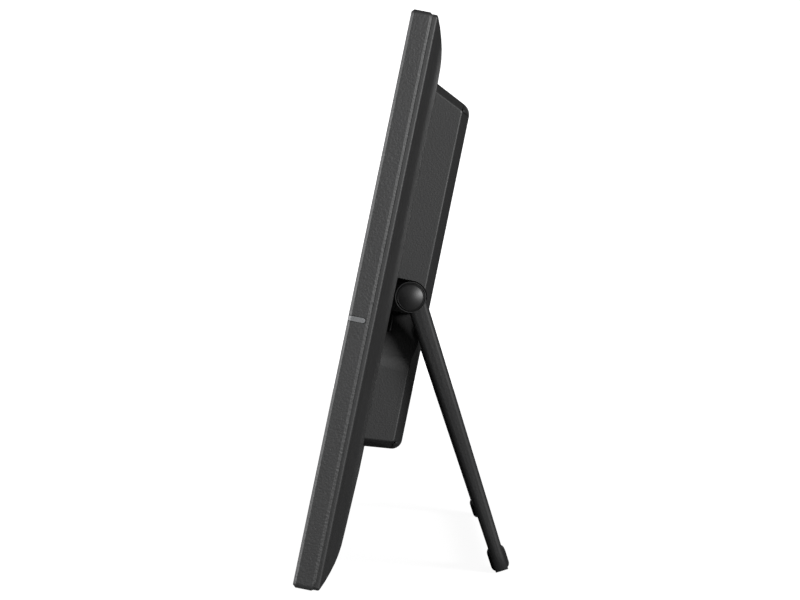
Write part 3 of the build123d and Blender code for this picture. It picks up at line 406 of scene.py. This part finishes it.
board = surface(
    "green_board",
    dark=(0.008, 0.04, 0.018),
    light=(0.012, 0.06, 0.028),
    rough=(0.3, 0.42),
    grain=0.0012,
    relief=0.00001,
    Coat_Weight=0.3,
)
tree = board.node_tree
shader = tree.nodes["Principled BSDF"]
traces = add_node(tree, "ShaderNodeGroup", node_tree=board_group)
mask_green = shader.inputs["Base Color"].links[0].from_socket
trace_green = (0.03, 0.13, 0.06, 1)
pad_gold = (0.5, 0.38, 0.16, 1)
tracked = blend(tree, traces.outputs["Trace"], mask_green, trace_green)
padded = blend(tree, traces.outputs["Pad"], tracked, pad_gold)
tree.links.new(padded, shader.inputs["Base Color"])
tree.links.new(traces.outputs["Pad"], shader.inputs["Metallic"])
dress(board, "timing_board", "led_strip", "main_board", "key_board", "status_led_board")

ribbon = surface(
    "flat_cable",
    dark=(0.3, 0.13, 0.03),
    light=(0.42, 0.2, 0.06),
    rough=(0.3, 0.4),
    grain=0.0006,
    relief=0.00001,
)
tree = ribbon.node_tree
shader = tree.nodes["Principled BSDF"]
place = add_node(tree, "ShaderNodeTexCoord").outputs["Object"]
wires = add_node(tree, "ShaderNodeTexWave", {"Vector": place, "Scale": 320.0}, bands_direction="X")
sheathing = shader.inputs["Base Color"].links[0].from_socket
wire_brown = (0.1, 0.05, 0.02, 1)
lined = blend(tree, wires.outputs["Fac"], sheathing, wire_brown)
tree.links.new(lined, shader.inputs["Base Color"])
dress(ribbon, "lcd_ribbon")

# Status light
# A bar of frosted grey polycarbonate through the side of the rim, pushed in from inside and lit by a
# small LED board behind it.
frosted = surface(
    "frosted_grey",
    dark=(0.12, 0.123, 0.126),
    light=(0.17, 0.173, 0.177),
    rough=(0.35, 0.5),
    grain=0.0008,
    relief=0.00002,
    Specular_IOR_Level=0.4,
)
make_piece(
    "light_bar",
    eased("status_light", panel, 0.0002, 0.0002, lambda point: point.x > frame_right - 0.001),
    panel,
    frosted,
    "display",
    "light_plastic",
    "status_light",
)


# Front feet
# Two rubber strips pressed into the bottom edge of the rim, ribbed across so that the frame doesn't
# slide on a shelf.
rubber = surface(
    "matt_rubber",
    dark=(0.006, 0.006, 0.0063),
    light=(0.013, 0.013, 0.0136),
    rough=(0.55, 0.7),
    grain=0.0005,
    relief=0.00003,
    dust=0.06,
    Specular_IOR_Level=0.2,
)

copy_tree = bpy.data.node_groups.new("set_of_copies", "GeometryNodeTree")
copy_tree.interface.new_socket("Geometry", in_out="INPUT", socket_type="NodeSocketGeometry")
copy_tree.interface.new_socket("Geometry", in_out="OUTPUT", socket_type="NodeSocketGeometry")
copy_kinds = {
    "Original": "NodeSocketObject",
    "Most Spin": "NodeSocketFloat",
    "Spin Seed": "NodeSocketInt",
    "Material": "NodeSocketMaterial",
}
copy_inputs = {
    label: copy_tree.interface.new_socket(label, in_out="INPUT", socket_type=kind).identifier
    for label, kind in copy_kinds.items()
}
given = add_node(copy_tree, "NodeGroupInput")
source = add_node(copy_tree, "GeometryNodeObjectInfo", {"Object": given.outputs["Original"]})
spin = add_node(
    copy_tree,
    "FunctionNodeRandomValue",
    {3: given.outputs["Most Spin"], "Seed": given.outputs["Spin Seed"]},
    data_type="FLOAT",
)
turned = add_node(copy_tree, "ShaderNodeCombineXYZ", {"Y": spin.outputs[1]})
placed = add_node(
    copy_tree,
    "GeometryNodeInstanceOnPoints",
    {
        "Points": given.outputs["Geometry"],
        "Instance": source.outputs["Geometry"],
        "Rotation": turned.outputs[0],
    },
)
solid = add_node(copy_tree, "GeometryNodeRealizeInstances", {"Geometry": placed.outputs[0]})
coated = add_node(
    copy_tree,
    "GeometryNodeSetMaterial",
    {"Geometry": solid.outputs[0], "Material": given.outputs["Material"]},
)
add_node(copy_tree, "NodeGroupOutput", {"Geometry": coated.outputs[0]})


def copies(bm, spots, spin, seed, material):
    """Mesh of a small solid repeated at spots, each copy turned about its depth by up to a spin."""
    mesh = bpy.data.meshes.new("original")
    bm.to_mesh(mesh)
    bm.free()
    original = bpy.data.objects.new("original", mesh)
    points = bpy.data.meshes.new("spots")
    points.from_pydata(spots, [], [])
    holder = bpy.data.objects.new("spots", points)
    bpy.context.scene.collection.objects.link(holder)
    repeat = holder.modifiers.new("repeat", "NODES")
    repeat.node_group = copy_tree
    values = {"Original": original, "Most Spin": spin, "Spin Seed": seed, "Material": material}
    for label, value in values.items():
        repeat[copy_inputs[label]] = value
    seen = holder.evaluated_get(bpy.context.evaluated_depsgraph_get())
    repeated = bpy.data.meshes.new_from_object(seen)
    bpy.data.objects.remove(holder)
    bpy.data.objects.remove(original)
    return repeated


rib_width = 0.0016
rib_pitch = 2 * rib_width
rib_stand = 0.0005
rib_lift = 0.0001
rib_rows = ((0.0003, 0.0), (0.0, 0.0004), (0.0, 0.0009))
rib_short = 0.001
plain_ends = 0.006
foot_bevel = 0.0003
for hand in ("left", "right"):
    (left, right), (front, rear), (low, high) = spans(panel, f"front_foot_{hand}")
    middle = ((left + right) / 2, (front + rear) / 2)
    width = right - left
    depth = rear - front
    pad = low + rib_stand
    bm = bmesh.new()
    loops = []
    for shrink, height in ((foot_bevel, pad), (0, pad + foot_bevel), (0, high)):
        outline = rounded(width - 2 * shrink, depth - 2 * shrink, depth / 2 - 0.0001 - shrink)
        loops.append([(middle[0] + u, middle[1] + v, height) for u, v in outline])
    loft(bm, loops)
    count = int((width - plain_ends) / rib_pitch)
    first = middle[0] - (count - 1) / 2 * rib_pitch
    spots = [(first + number * rib_pitch, middle[1], low + rib_lift) for number in range(count)]
    rib = bmesh.new()
    loops = []
    for shrink, height in rib_rows:
        outline = rounded(rib_width - 2 * shrink, depth - rib_short - 2 * shrink, 0.0004, 3)
        loops.append([(u, v, height) for u, v in outline])
    loft(rib, loops)
    bm.from_mesh(copies(rib, spots, 0.0, 1, rubber))
    make_piece(f"ribbed_foot_{hand}", bm, panel, rubber, "display", "rubber", f"front_foot_{hand}")

# Chassis and screws
# A pressed steel plate carries the display, the boards and the hinges. Pan-head screws with a cross
# recess hold it, the boards, the speakers and the back cover. The wall-arm standoffs stand on it.
dress(zinc, "chassis_plate", "mount_standoffs")
screw_steel = surface(
    "screw_steel",
    dark=(0.3, 0.3, 0.31),
    light=(0.45, 0.45, 0.46),
    rough=(0.25, 0.4),
    grain=0.0008,
    relief=0.00001,
    Metallic=1.0,
)
black_steel = surface(
    "black_steel",
    dark=(0.03, 0.03, 0.032),
    light=(0.06, 0.06, 0.062),
    rough=(0.3, 0.42),
    grain=0.0006,
    relief=0.00001,
    Metallic=0.7,
)


def solids(node):
    """Separate solids of a CAD node, each as its points in the panel's directions."""
    bm = bmesh.new()
    bm.from_mesh(nodes[node].data)
    bmesh.ops.remove_doubles(bm, verts=bm.verts, dist=2e-6)
    bm.transform(panel.inverted())
    left = set(bm.verts)
    groups = []
    for start in bm.verts:
        if start not in left:
            continue
        left.remove(start)
        queue = [start]
        group = []
        while queue:
            vertex = queue.pop()
            group.append(vertex.co.copy())
            for edge in vertex.link_edges:
                other = edge.other_vert(vertex)
                if other in left:
                    left.remove(other)
                    queue.append(other)
        groups.append(group)
    bm.free()
    return groups


def cross_recess(arm, half_width, steps):
    """Plus-shaped outline as distances from the middle at even angles."""
    reach = []
    for step in range(steps):
        angle = math.radians((360 * step / steps + 45) % 90 - 45)
        side = half_width / max(abs(math.sin(angle)), 1e-6)
        reach.append(min(arm / math.cos(angle), side))
    return reach


def make_screws(name, node, seed, metal):
    """Pan-head screws in place of a CAD node's plain ones, each turned as the driver left it."""
    groups = solids(node)
    spots = [[(min(axis) + max(axis)) / 2 for axis in zip(*group)] for group in groups]
    first = [point - Vector((spots[0][0], 0, spots[0][2])) for point in groups[0]]
    reach = [(point.y, math.hypot(point.x, point.z)) for point in first]
    low, high = min(reach)[0], max(reach)[0]
    head = max(radius for _, radius in reach)
    ends = [max(radius for depth, radius in reach if abs(depth - end) < 1e-4) for end in (low, high)]
    way = 1 if ends[1] > ends[0] else -1
    top = high if way > 0 else low
    seat = max(abs(depth - top) for depth, radius in reach if radius > 0.97 * head)
    length = high - low
    shank = min(ends)
    steps = 40
    plus = cross_recess(0.62 * head, 0.17 * head, steps)
    rows = [(0.75, 0.55 * seat, plus), (1.0, 0.06 * seat, plus)]
    pan = ((0.7, 0.02), (0.86, 0.14), (0.96, 0.36), (1, 0.6))
    rows += [(radius * head, sink * seat, None) for radius, sink in pan]
    rows += [(head, seat, None), (shank, seat, None)]
    pitch = shank * 0.6
    for turn in range(int((length - seat) / pitch) - 1):
        crest = seat + pitch * (turn + 0.2)
        root = seat + pitch * (turn + 0.7)
        rows += [(shank, crest, None), (0.82 * shank, root, None)]
    rows += [(0.6 * shank, length, None)]
    loops = []
    for radius, sink, shape in rows:
        loop = []
        for step in range(steps):
            angle = 2 * math.pi * step / steps
            here = radius * shape[step] if shape else radius
            loop.append((here * math.cos(angle), top - way * sink - spots[0][1], here * math.sin(angle)))
        loops.append(loop)
    bm = bmesh.new()
    loft(bm, loops)
    screws = bmesh.new()
    screws.from_mesh(copies(bm, spots, 2 * math.pi, seed, metal))
    make_piece(f"{name}_set", screws, panel, metal, "display", "steel", node)


make_screws("plate_screws", "chassis_screws", 3, screw_steel)

# Main board
# Green glass-epoxy board on brass standoffs, with a processor under a finned aluminium heat sink,
# memory chips, a shielded wireless module and a coin cell in its holder.
make_screws("circuit_screws", "board_screws", 5, screw_steel)
brass = surface(
    "turned_brass",
    dark=(0.52, 0.36, 0.13),
    light=(0.66, 0.48, 0.2),
    rough=(0.22, 0.36),
    grain=0.0006,
    relief=0.00001,
    Metallic=1.0,
)
dress(brass, "board_standoffs")
epoxy = surface(
    "chip_epoxy",
    dark=(0.014, 0.014, 0.015),
    light=(0.028, 0.028, 0.03),
    rough=(0.42, 0.58),
    grain=0.0003,
    relief=0.00002,
)
dress(epoxy, "processor", "memory_chips", "cell_holder", "key_switches")
anodised = surface(
    "anodised_aluminium",
    dark=(0.5, 0.51, 0.52),
    light=(0.62, 0.63, 0.64),
    rough=(0.32, 0.45),
    grain=0.0006,
    relief=0.00001,
    stretch=(0.06, 1, 1),
    Metallic=1.0,
)
dress(anodised, "heat_sink")
shield = surface(
    "tinned_shield",
    dark=(0.5, 0.5, 0.49),
    light=(0.62, 0.62, 0.6),
    rough=(0.24, 0.4),
    grain=0.004,
    relief=0.00001,
    Metallic=1.0,
)
dress(shield, "wireless_module", "clock_cell")

# Sockets
# Tinned steel shells of the video, data and card connectors, and black nylon power and audio jacks, in
# a row along the lower edge of the board. They open down into the bay under the back cover.
dress(shield, "hdmi_socket", "usb_sockets", "card_slot")
nylon = surface(
    "black_nylon",
    dark=(0.014, 0.014, 0.014),
    light=(0.026, 0.026, 0.026),
    rough=(0.4, 0.55),
    grain=0.0005,
    relief=0.00002,
)
dress(nylon, "dc_jack", "audio_jack")

# Speakers
# Two flat box speakers screwed against the slots of the back cover, sealed by a ring of foam.
dress(nylon, "speaker_left", "speaker_right")
make_screws("box_screws", "speaker_screws", 7, screw_steel)

# Key board
# A strip of circuit board behind the keys, screwed to posts of the back cover, with a tact switch
# under each key.
make_screws("strip_screws", "key_screws", 9, screw_steel)

# Back cover
# One grained ABS moulding: a pillow edge round a flat back, a housing for the boards with a vented
# upper slope, a hinge pocket with a thin rib at each side, speaker slots, and wells for its screws.
cover_rear = spans(panel, "back_cover")[1][1]
cover_black = surface(
    "cover_black",
    dark=(0.005, 0.0051, 0.0053),
    light=(0.009, 0.0091, 0.0095),
    rough=(0.54, 0.59),
    grain=0.0008,
    relief=0.00005,
    dust=0.04,
    Specular_IOR_Level=0.85,
)
housing_side = 0.165
flat_back = 0.0217
facet_depth = 0.0047
facet_width = 0.009
facet_from = cover_rear - facet_depth
hinge_height = sum(spans(panel, "hinge_shaft_right")[2]) / 2
ramp_top = hinge_height - 0.0098
ramp_reach = 0.014
ramp_drop = 0.0282
ramp_foot = hinge_height - 0.036
pillow_start = 0.0015
pillow_reach = 0.009
close = 0.00005
clear = 0.0005
on_line = 0.0002
mouth_half = 0.04
facet_ends = 0.045
ramp_blend = 0.008


def at_foot(point):
    """True on the soft line where the ramp of a hinge pocket meets the housing's side."""
    return abs(point.x) > housing_side - 0.001 and abs(point.z - ramp_foot) < clear


def let_out(bm):
    """Meets the rim's chamfer, widens the housing's side facets and steepens the pockets' ramps."""
    for vertex in bm.verts:
        x, y, z = vertex.co
        sunk = housing_side - abs(x)
        ramp_height = ramp_top - ramp_drop * (1 - sunk / ramp_reach)
        on_ramp = y > flat_back - 0.0001 and abs(ramp_height - z) < close
        on_facet = abs(sunk - facet_depth) < close or 0.0001 < sunk and abs(sunk - y + facet_from) < close
        if inset(vertex.co) < pillow_start + pillow_reach:
            share = 1 - (inset(vertex.co) - pillow_start) / pillow_reach
            vertex.co = outward(vertex.co, chamfer_step * min(1.0, share))
        if y > flat_back + 0.0003 and on_facet:
            sunk *= facet_width / facet_depth
            vertex.co.x = math.copysign(housing_side - sunk, x)
        if on_ramp and -0.00001 < sunk < ramp_reach:
            vertex.co.z = ramp_top + (ramp_foot - ramp_top) * (1 - sunk / ramp_reach)
    walls = [face for face in bm.faces if all(abs(abs(v.co.x) - housing_side) < 0.00001 for v in face.verts)]
    parts = dict.fromkeys(part for face in walls for part in (*face.verts, *face.edges))
    below = (0, 0, ramp_foot - ramp_blend)
    bmesh.ops.bisect_plane(bm, geom=[*walls, *parts], plane_co=below, plane_no=(0, 0, 1))


def cover_edge(point):
    """True on the strip beside the rim and on the housing's outer edges, clear of the hinge pockets."""
    sunk = housing_side - abs(point.x)
    in_mouth = point.y < facet_from - clear and abs(point.z - hinge_height) < mouth_half
    on_housing = abs(sunk) < on_line or abs(sunk - facet_width) < on_line
    on_strip = inset(point) < edge_reach and point.y > frame_rear + 0.0015
    return on_strip or on_housing and point.y > flat_back + clear and not in_mouth


cover = eased("back_cover", panel, 0.0007, 0.0002, cover_edge, let_out)
for edge in cover.edges:
    spot = (edge.verts[0].co + edge.verts[1].co) / 2
    sunk = housing_side - abs(spot.x)
    across_facet = 0.0003 < sunk < facet_width - 0.0003 and abs(spot.z - hinge_height) > facet_ends
    if at_foot(spot) or across_facet and spot.y > flat_back + clear:
        edge.smooth = True
rib_top = hinge_height - 0.0123
rib_end = hinge_height - 0.0218
rib_face = 0.1642
rib_roots = (0.157, 0.1515)
pocket_rib_rows = ((0.0003, 0.0231), (0.0, 0.0234), (0.0, 0.0236), (0.0003, 0.0239))
for side in (-1, 1):
    loops = []
    for shrink, depth in pocket_rib_rows:
        face = rib_face - shrink
        top = rib_top - shrink
        end = rib_end + shrink
        outline = ((face, top), (face, end), (rib_roots[0], end), (rib_roots[1], top))
        loops.append([(side * reach, depth, height) for reach, height in outline])
    loft(cover, loops)
make_piece("back_moulding", cover, panel, cover_black, "display", "grained_plastic", "back_cover")
make_screws("shell_screws", "cover_screws", 11, black_steel)


# Keys
# Four round keys in satin black ABS, dished for a fingertip, each with a pale raised mark: power,
# menu, previous and next. A flange behind the cover keeps them in.
def prism(bm, outline, low, high):
    """Thin solid over an outline of (across, up) points between two depths."""
    loft(bm, [[(u, depth, v) for u, v in outline] for depth in (low, high)])


def bar(width, height, u=0.0, v=0.0):
    """Outline of a straight bar about a point."""
    outline = ((-1, -1), (1, -1), (1, 1), (-1, 1))
    return [(u + side * width / 2, v + end * height / 2) for side, end in outline]


satin = surface(
    "satin_black",
    dark=(0.003, 0.003, 0.0033),
    light=(0.005, 0.005, 0.0053),
    rough=(0.42, 0.48),
    grain=0.0005,
    relief=0.00001,
    dust=0.03,
    Specular_IOR_Level=0.6,
)
pale_print = surface(
    "pale_print",
    dark=(0.3, 0.3, 0.31),
    light=(0.42, 0.42, 0.43),
    rough=(0.5, 0.62),
    grain=0.0004,
    relief=0.000004,
    dust=0.03,
)
gap = math.radians(35)
ring = [gap + (2 * math.pi - 2 * gap) * step / 24 for step in range(25)]
ring_outer = 0.0013
ring_inner = 0.00095
power_ring = [(ring_outer * math.sin(a), ring_outer * math.cos(a)) for a in ring]
power_ring += [(ring_inner * math.sin(a), ring_inner * math.cos(a)) for a in reversed(ring)]
marks = {
    "power": [power_ring, bar(0.00035, 0.0013, 0, 0.001)],
    "menu": [bar(0.0024, 0.0004, 0, rise * 0.0009) for rise in (-1, 0, 1)],
    "previous": [[(0.0012, 0), (-0.0009, 0.0013), (-0.0009, -0.0013)]],
    "next": [[(-0.0012, 0), (0.0009, -0.0013), (0.0009, 0.0013)]],
}
key_turns = [2 * math.pi * step / 48 for step in range(48)]
key_circle = [(math.cos(turn), math.sin(turn)) for turn in key_turns]
stem = 0.0018
stem_height = 0.001
flange_height = 0.002
key_bevel = 0.0002
crown_round = ((0, 0.0006), (0.0001, 0.0003), (0.0003, 0.0001), (0.0006, 0))
mark_root = 0.001
mark_face = 0.00025
dish = 0.0005
dish_rim = 0.8
dish_shares = (dish_rim, 0.65, 0.45, 0.2, 0.002)
for name, outlines in marks.items():
    (left, right), (front, crown), (low, high) = spans(panel, f"{name}_key")
    middle = ((left + right) / 2, (low + high) / 2)
    flange = (right - left) / 2
    cap = 0.75 * flange
    bm = bmesh.new()
    low_face = front + stem_height
    high_face = front + flange_height
    rows = [(0.00001, front), (stem - key_bevel, front), (stem, front + key_bevel), (stem, low_face)]
    rows += [(flange - key_bevel, low_face), (flange, low_face + key_bevel)]
    rows += [(flange, high_face - key_bevel), (flange - key_bevel, high_face), (cap, high_face)]
    rows += [(cap - shrink, crown - fall) for shrink, fall in crown_round]
    rows += [(cap * share, crown - dish * (1 - (share / dish_rim) ** 2)) for share in dish_shares]
    loft(bm, [[(middle[0] + r * u, depth, middle[1] + r * v) for u, v in key_circle] for r, depth in rows])
    plain = set(bm.faces)
    for outline in outlines:
        moved = [(middle[0] + u, middle[1] + v) for u, v in outline]
        prism(bm, moved, crown - mark_root, crown - mark_face)
    for face in set(bm.faces) - plain:
        face.material_index = 1
    key = make_piece(f"{name}_button_cap", bm, panel, satin, f"{name}_button", "gloss_plastic", f"{name}_key")
    key.data.materials.append(pale_print)

# Hinges
# Steel shafts turn in folded brackets on the chassis plate. A nut presses the spring washers
# together, and their friction holds the stand at any angle.
dress(zinc, "hinge_bracket_left", "hinge_bracket_right", "bracket_nuts")
dress(screw_steel, "hinge_shaft_left", "hinge_shaft_right", "hinge_nuts", "friction_washers")

# Stand
# Two tapered legs of grained black ABS with a knuckle at the top, a domed cap over each pivot, and
# a flat aluminium bar between their feet with a rubber boot over it by each leg.
leg_black = surface(
    "leg_black",
    dark=(0.005, 0.0051, 0.0053),
    light=(0.012, 0.0122, 0.0128),
    rough=(0.6, 0.68),
    grain=0.001,
    relief=0.00006,
    dust=0.04,
    Specular_IOR_Level=0.45,
)
leg_middle = 0.0027
knuckle_end = -0.0095
crown_fall = 0.0004
crown_width = 0.002
crown_depth = 0.003
taper_height = 0.0105
taper_slope = 0.48
taper_depth = 0.007
cap_bevel = 0.0002
cap_land = 0.0011
cap_rise = 0.0006
cap_groove = ((0.0003, cap_rise), (0.0001, 0.00045))
dome_shares = (1, 0.9, 0.75, 0.6, 0.45, 0.3, 0.15, 0.002)
dome_turns = [2 * math.pi * step / 64 for step in range(64)]
dome_circle = [(math.cos(turn), math.sin(turn)) for turn in dome_turns]
bar_spans = spans(stand, "crossbar")
boot_end = ((0.0012, 0), (0.0005, 0.00025), (0.0001, 0.0008), (0, 0.0014))
boot_groove = ((0, -0.0006), (0.0004, -0.0002), (0.0004, 0.0002), (0, 0.0006))
boot_corner = 0.0036
hole_corner = 0.0008
for hand, side in (("left", -1), ("right", 1)):
    cap_spans = spans(stand, f"pivot_cap_{hand}")
    leg_spans = spans(stand, f"leg_{hand}")
    leg_end = leg_spans[2][0]
    leg_face = max(abs(end) for end in leg_spans[0])
    bm = eased(
        f"leg_{hand}",
        stand,
        0.0002,
        0.0003,
        lambda point: abs(point.x) > leg_face - 0.0002 or point.z < leg_end + 0.0002,
    )
    taper_from = leg_end + taper_height
    for point, normal in (((0, 0, taper_from), (0, 0, 1)), ((0, leg_middle, 0), (0, 1, 0))):
        whole = bm.verts[:] + bm.edges[:] + bm.faces[:]
        bmesh.ops.bisect_plane(bm, geom=whole, plane_co=point, plane_no=normal)
    for vertex in bm.verts:
        beside = abs(vertex.co.y - leg_middle)
        below_face = leg_face - abs(vertex.co.x)
        if below_face < crown_depth and vertex.co.z < knuckle_end:
            sink = crown_fall * min(1.0, beside / crown_width) * (1 - below_face / crown_depth)
            vertex.co.x -= side * sink
        drop = taper_from - vertex.co.z
        out = abs(vertex.co.x) - (leg_face - taper_depth)
        if drop > 0 and out > 0:
            vertex.co.x -= side * taper_slope * drop * out / taper_depth
    make_piece(f"stand_leg_{hand}", bm, stand, leg_black, "stand", "leg_plastic", f"leg_{hand}")

    radius = (cap_spans[1][1] - cap_spans[1][0]) / 2
    seat, crown = sorted(abs(end) for end in cap_spans[0])
    land = radius - cap_land
    rows = [(0.00002, seat), (radius - cap_bevel, seat), (radius, seat + cap_bevel)]
    rows += [(radius, leg_face - cap_bevel), (radius - cap_bevel / 2, leg_face)]
    rows += [(land + beyond, leg_face + rise) for beyond, rise in cap_groove]
    dome = crown - leg_face - cap_rise
    rows += [(land * share, crown - dome * share**2) for share in dome_shares]
    bm = bmesh.new()
    loft(bm, [[(side * x, r * u, r * v) for u, v in dome_circle] for r, x in rows])
    make_piece(f"domed_cap_{hand}", bm, stand, satin, "stand", "gloss_plastic", f"pivot_cap_{hand}")

    (left, right), (front, rear), (low, high) = spans(stand, f"foot_boot_{hand}")
    middle = ((front + rear) / 2, (low + high) / 2)
    hole = [end - start + 0.0002 for start, end in bar_spans[1:]]
    length = right - left
    rows = [*boot_end]
    for groove in (0.3, 0.5, 0.7):
        rows += [(shrink, groove * length + beside) for shrink, beside in boot_groove]
    rows += [(shrink, length - along) for shrink, along in reversed(boot_end)]
    loops = []
    for shrink, along in rows:
        outline = rounded(rear - front - 2 * shrink, high - low - 2 * shrink, boot_corner - shrink)
        loops.append([(left + along, middle[0] + u, middle[1] + v) for u, v in outline])
    for along in (length, 0):
        outline = rounded(*hole, hole_corner)
        loops.append([(left + along, middle[0] + u, middle[1] + v) for u, v in outline])
    bm = bmesh.new()
    loft(bm, loops, cyclic=True)
    make_piece(f"rubber_boot_{hand}", bm, stand, rubber, "stand", "rubber", f"foot_boot_{hand}")

black_anodised = surface(
    "black_anodised",
    dark=(0.02, 0.02, 0.021),
    light=(0.045, 0.045, 0.047),
    rough=(0.34, 0.46),
    grain=0.0006,
    relief=0.00001,
    stretch=(0.06, 1, 1),
    Metallic=0.4,
)
make_piece(
    "foot_bar",
    eased("crossbar", stand, 0.0003, 0.0002, lambda point: True),
    stand,
    black_anodised,
    "stand",
    "aluminium",
    "crossbar",
)

# Stage
# A floor and a paper backdrop, both white to the camera. In reflections the backdrop stays white and
# the floor is grey. A soft lamp stands on each side, and the camera exactly at the right-hand side.
scene = bpy.context.scene
scene.view_settings.view_transform = "Standard"


def stage_sheet(name, corners, paint, colour):
    """Flat matt sheet of the stage. Returns its material's tree and shader, with no glow yet."""
    mesh = bpy.data.meshes.new(name)
    mesh.from_pydata(corners, [], [(0, 1, 2, 3)])
    sheet = bpy.data.objects.new(name, mesh)
    scene.collection.objects.link(sheet)
    material = bpy.data.materials.new(paint)
    material.use_nodes = True
    mesh.materials.append(material)
    shader = material.node_tree.nodes["Principled BSDF"]
    shader.inputs["Base Color"].default_value = colour
    shader.inputs["Roughness"].default_value = 0.9
    shader.inputs["Specular IOR Level"].default_value = 0.0
    shader.inputs["Emission Color"].default_value = (1, 1, 1, 1)
    return material.node_tree, shader


def background_rays(tree, mirrored):
    """One for a ray that sees the surround from the camera or through glass, less in a reflection."""
    path = add_node(tree, "ShaderNodeLightPath")
    seen = multiply(tree, path.outputs["Is Glossy Ray"], mirrored)
    for ray in ("Is Camera Ray", "Is Transmission Ray"):
        either = add_node(tree, "ShaderNodeMath", {0: seen, 1: path.outputs[ray]}, operation="MAXIMUM")
        seen = either.outputs[0]
    return seen


floor_corners = [(-3, -3, 0), (3, -3, 0), (3, 3, 0), (-3, 3, 0)]
tree, shader = stage_sheet("floor", floor_corners, "pale_floor", (0.25, 0.25, 0.25, 1))
place = add_node(tree, "ShaderNodeTexCoord").outputs["Object"]
axes = add_node(tree, "ShaderNodeSeparateXYZ", {0: place})
beside = add_node(tree, "ShaderNodeMath", {0: axes.outputs["Y"]}, operation="ABSOLUTE").outputs[0]
width = spread_range(tree, axes.outputs["X"], 1.6, -2.9, 0.02, 0.9)
share = add_node(tree, "ShaderNodeMath", {0: beside, 1: width}, operation="DIVIDE").outputs[0]
away = add_node(tree, "ShaderNodeVectorMath", {0: place}, operation="LENGTH").outputs["Value"]
mirrored = multiply(tree, spread_range(tree, share, 1.4, 1.0), 0.05)
glow = multiply(tree, background_rays(tree, mirrored), spread_range(tree, away, 0.3, 1.2, 0.94, 1.0))
tree.links.new(glow, shader.inputs["Emission Strength"])

backdrop_corners = [(-2.5, -0.8, 0), (-2.5, 1.3, 0), (-2.5, 1.3, 0.8), (-2.5, -0.8, 0.8)]
tree, shader = stage_sheet("backdrop", backdrop_corners, "white_paper", (0.6, 0.6, 0.6, 1))
tree.links.new(background_rays(tree, 1.0), shader.inputs["Emission Strength"])

world = bpy.data.worlds.new("surround")
scene.world = world
world.use_nodes = True
surround = world.node_tree.nodes["Background"]
surround.inputs["Color"].default_value = (1, 1, 1, 1)
tree = world.node_tree
open_air = spread_range(tree, background_rays(tree, 0.0), 0, 1, 0.1, 1.0)
tree.links.new(open_air, surround.inputs["Strength"])


def soft_lamp(name, location, width, height, power):
    """Rectangular lamp that faces the middle of the rim's side."""
    lamp = bpy.data.lights.new(name, "AREA")
    lamp.shape = "RECTANGLE"
    lamp.size = width
    lamp.size_y = height
    lamp.energy = power
    holder = bpy.data.objects.new(name, lamp)
    scene.collection.objects.link(holder)
    holder.location = location
    holder.rotation_euler = (lamp_target - Vector(location)).to_track_quat("-Z", "Y").to_euler()


lamp_target = Vector((0.26, 0, 0.16))
soft_lamp("right_lamp", (1.9, 1.55, 0.7), 1.1, 0.5, 58)
soft_lamp("left_lamp", (0.9, -1.9, 0.6), 1.4, 0.6, 46)

eye = bpy.data.cameras.new("eye")
eye.sensor_width = 36
eye.lens = 99.9
camera = bpy.data.objects.new("eye", eye)
scene.collection.objects.link(camera)
camera.location = (1.464, -0.00283, 0.1585)
camera.rotation_euler = (math.pi / 2, 0, math.pi / 2)
scene.camera = camera
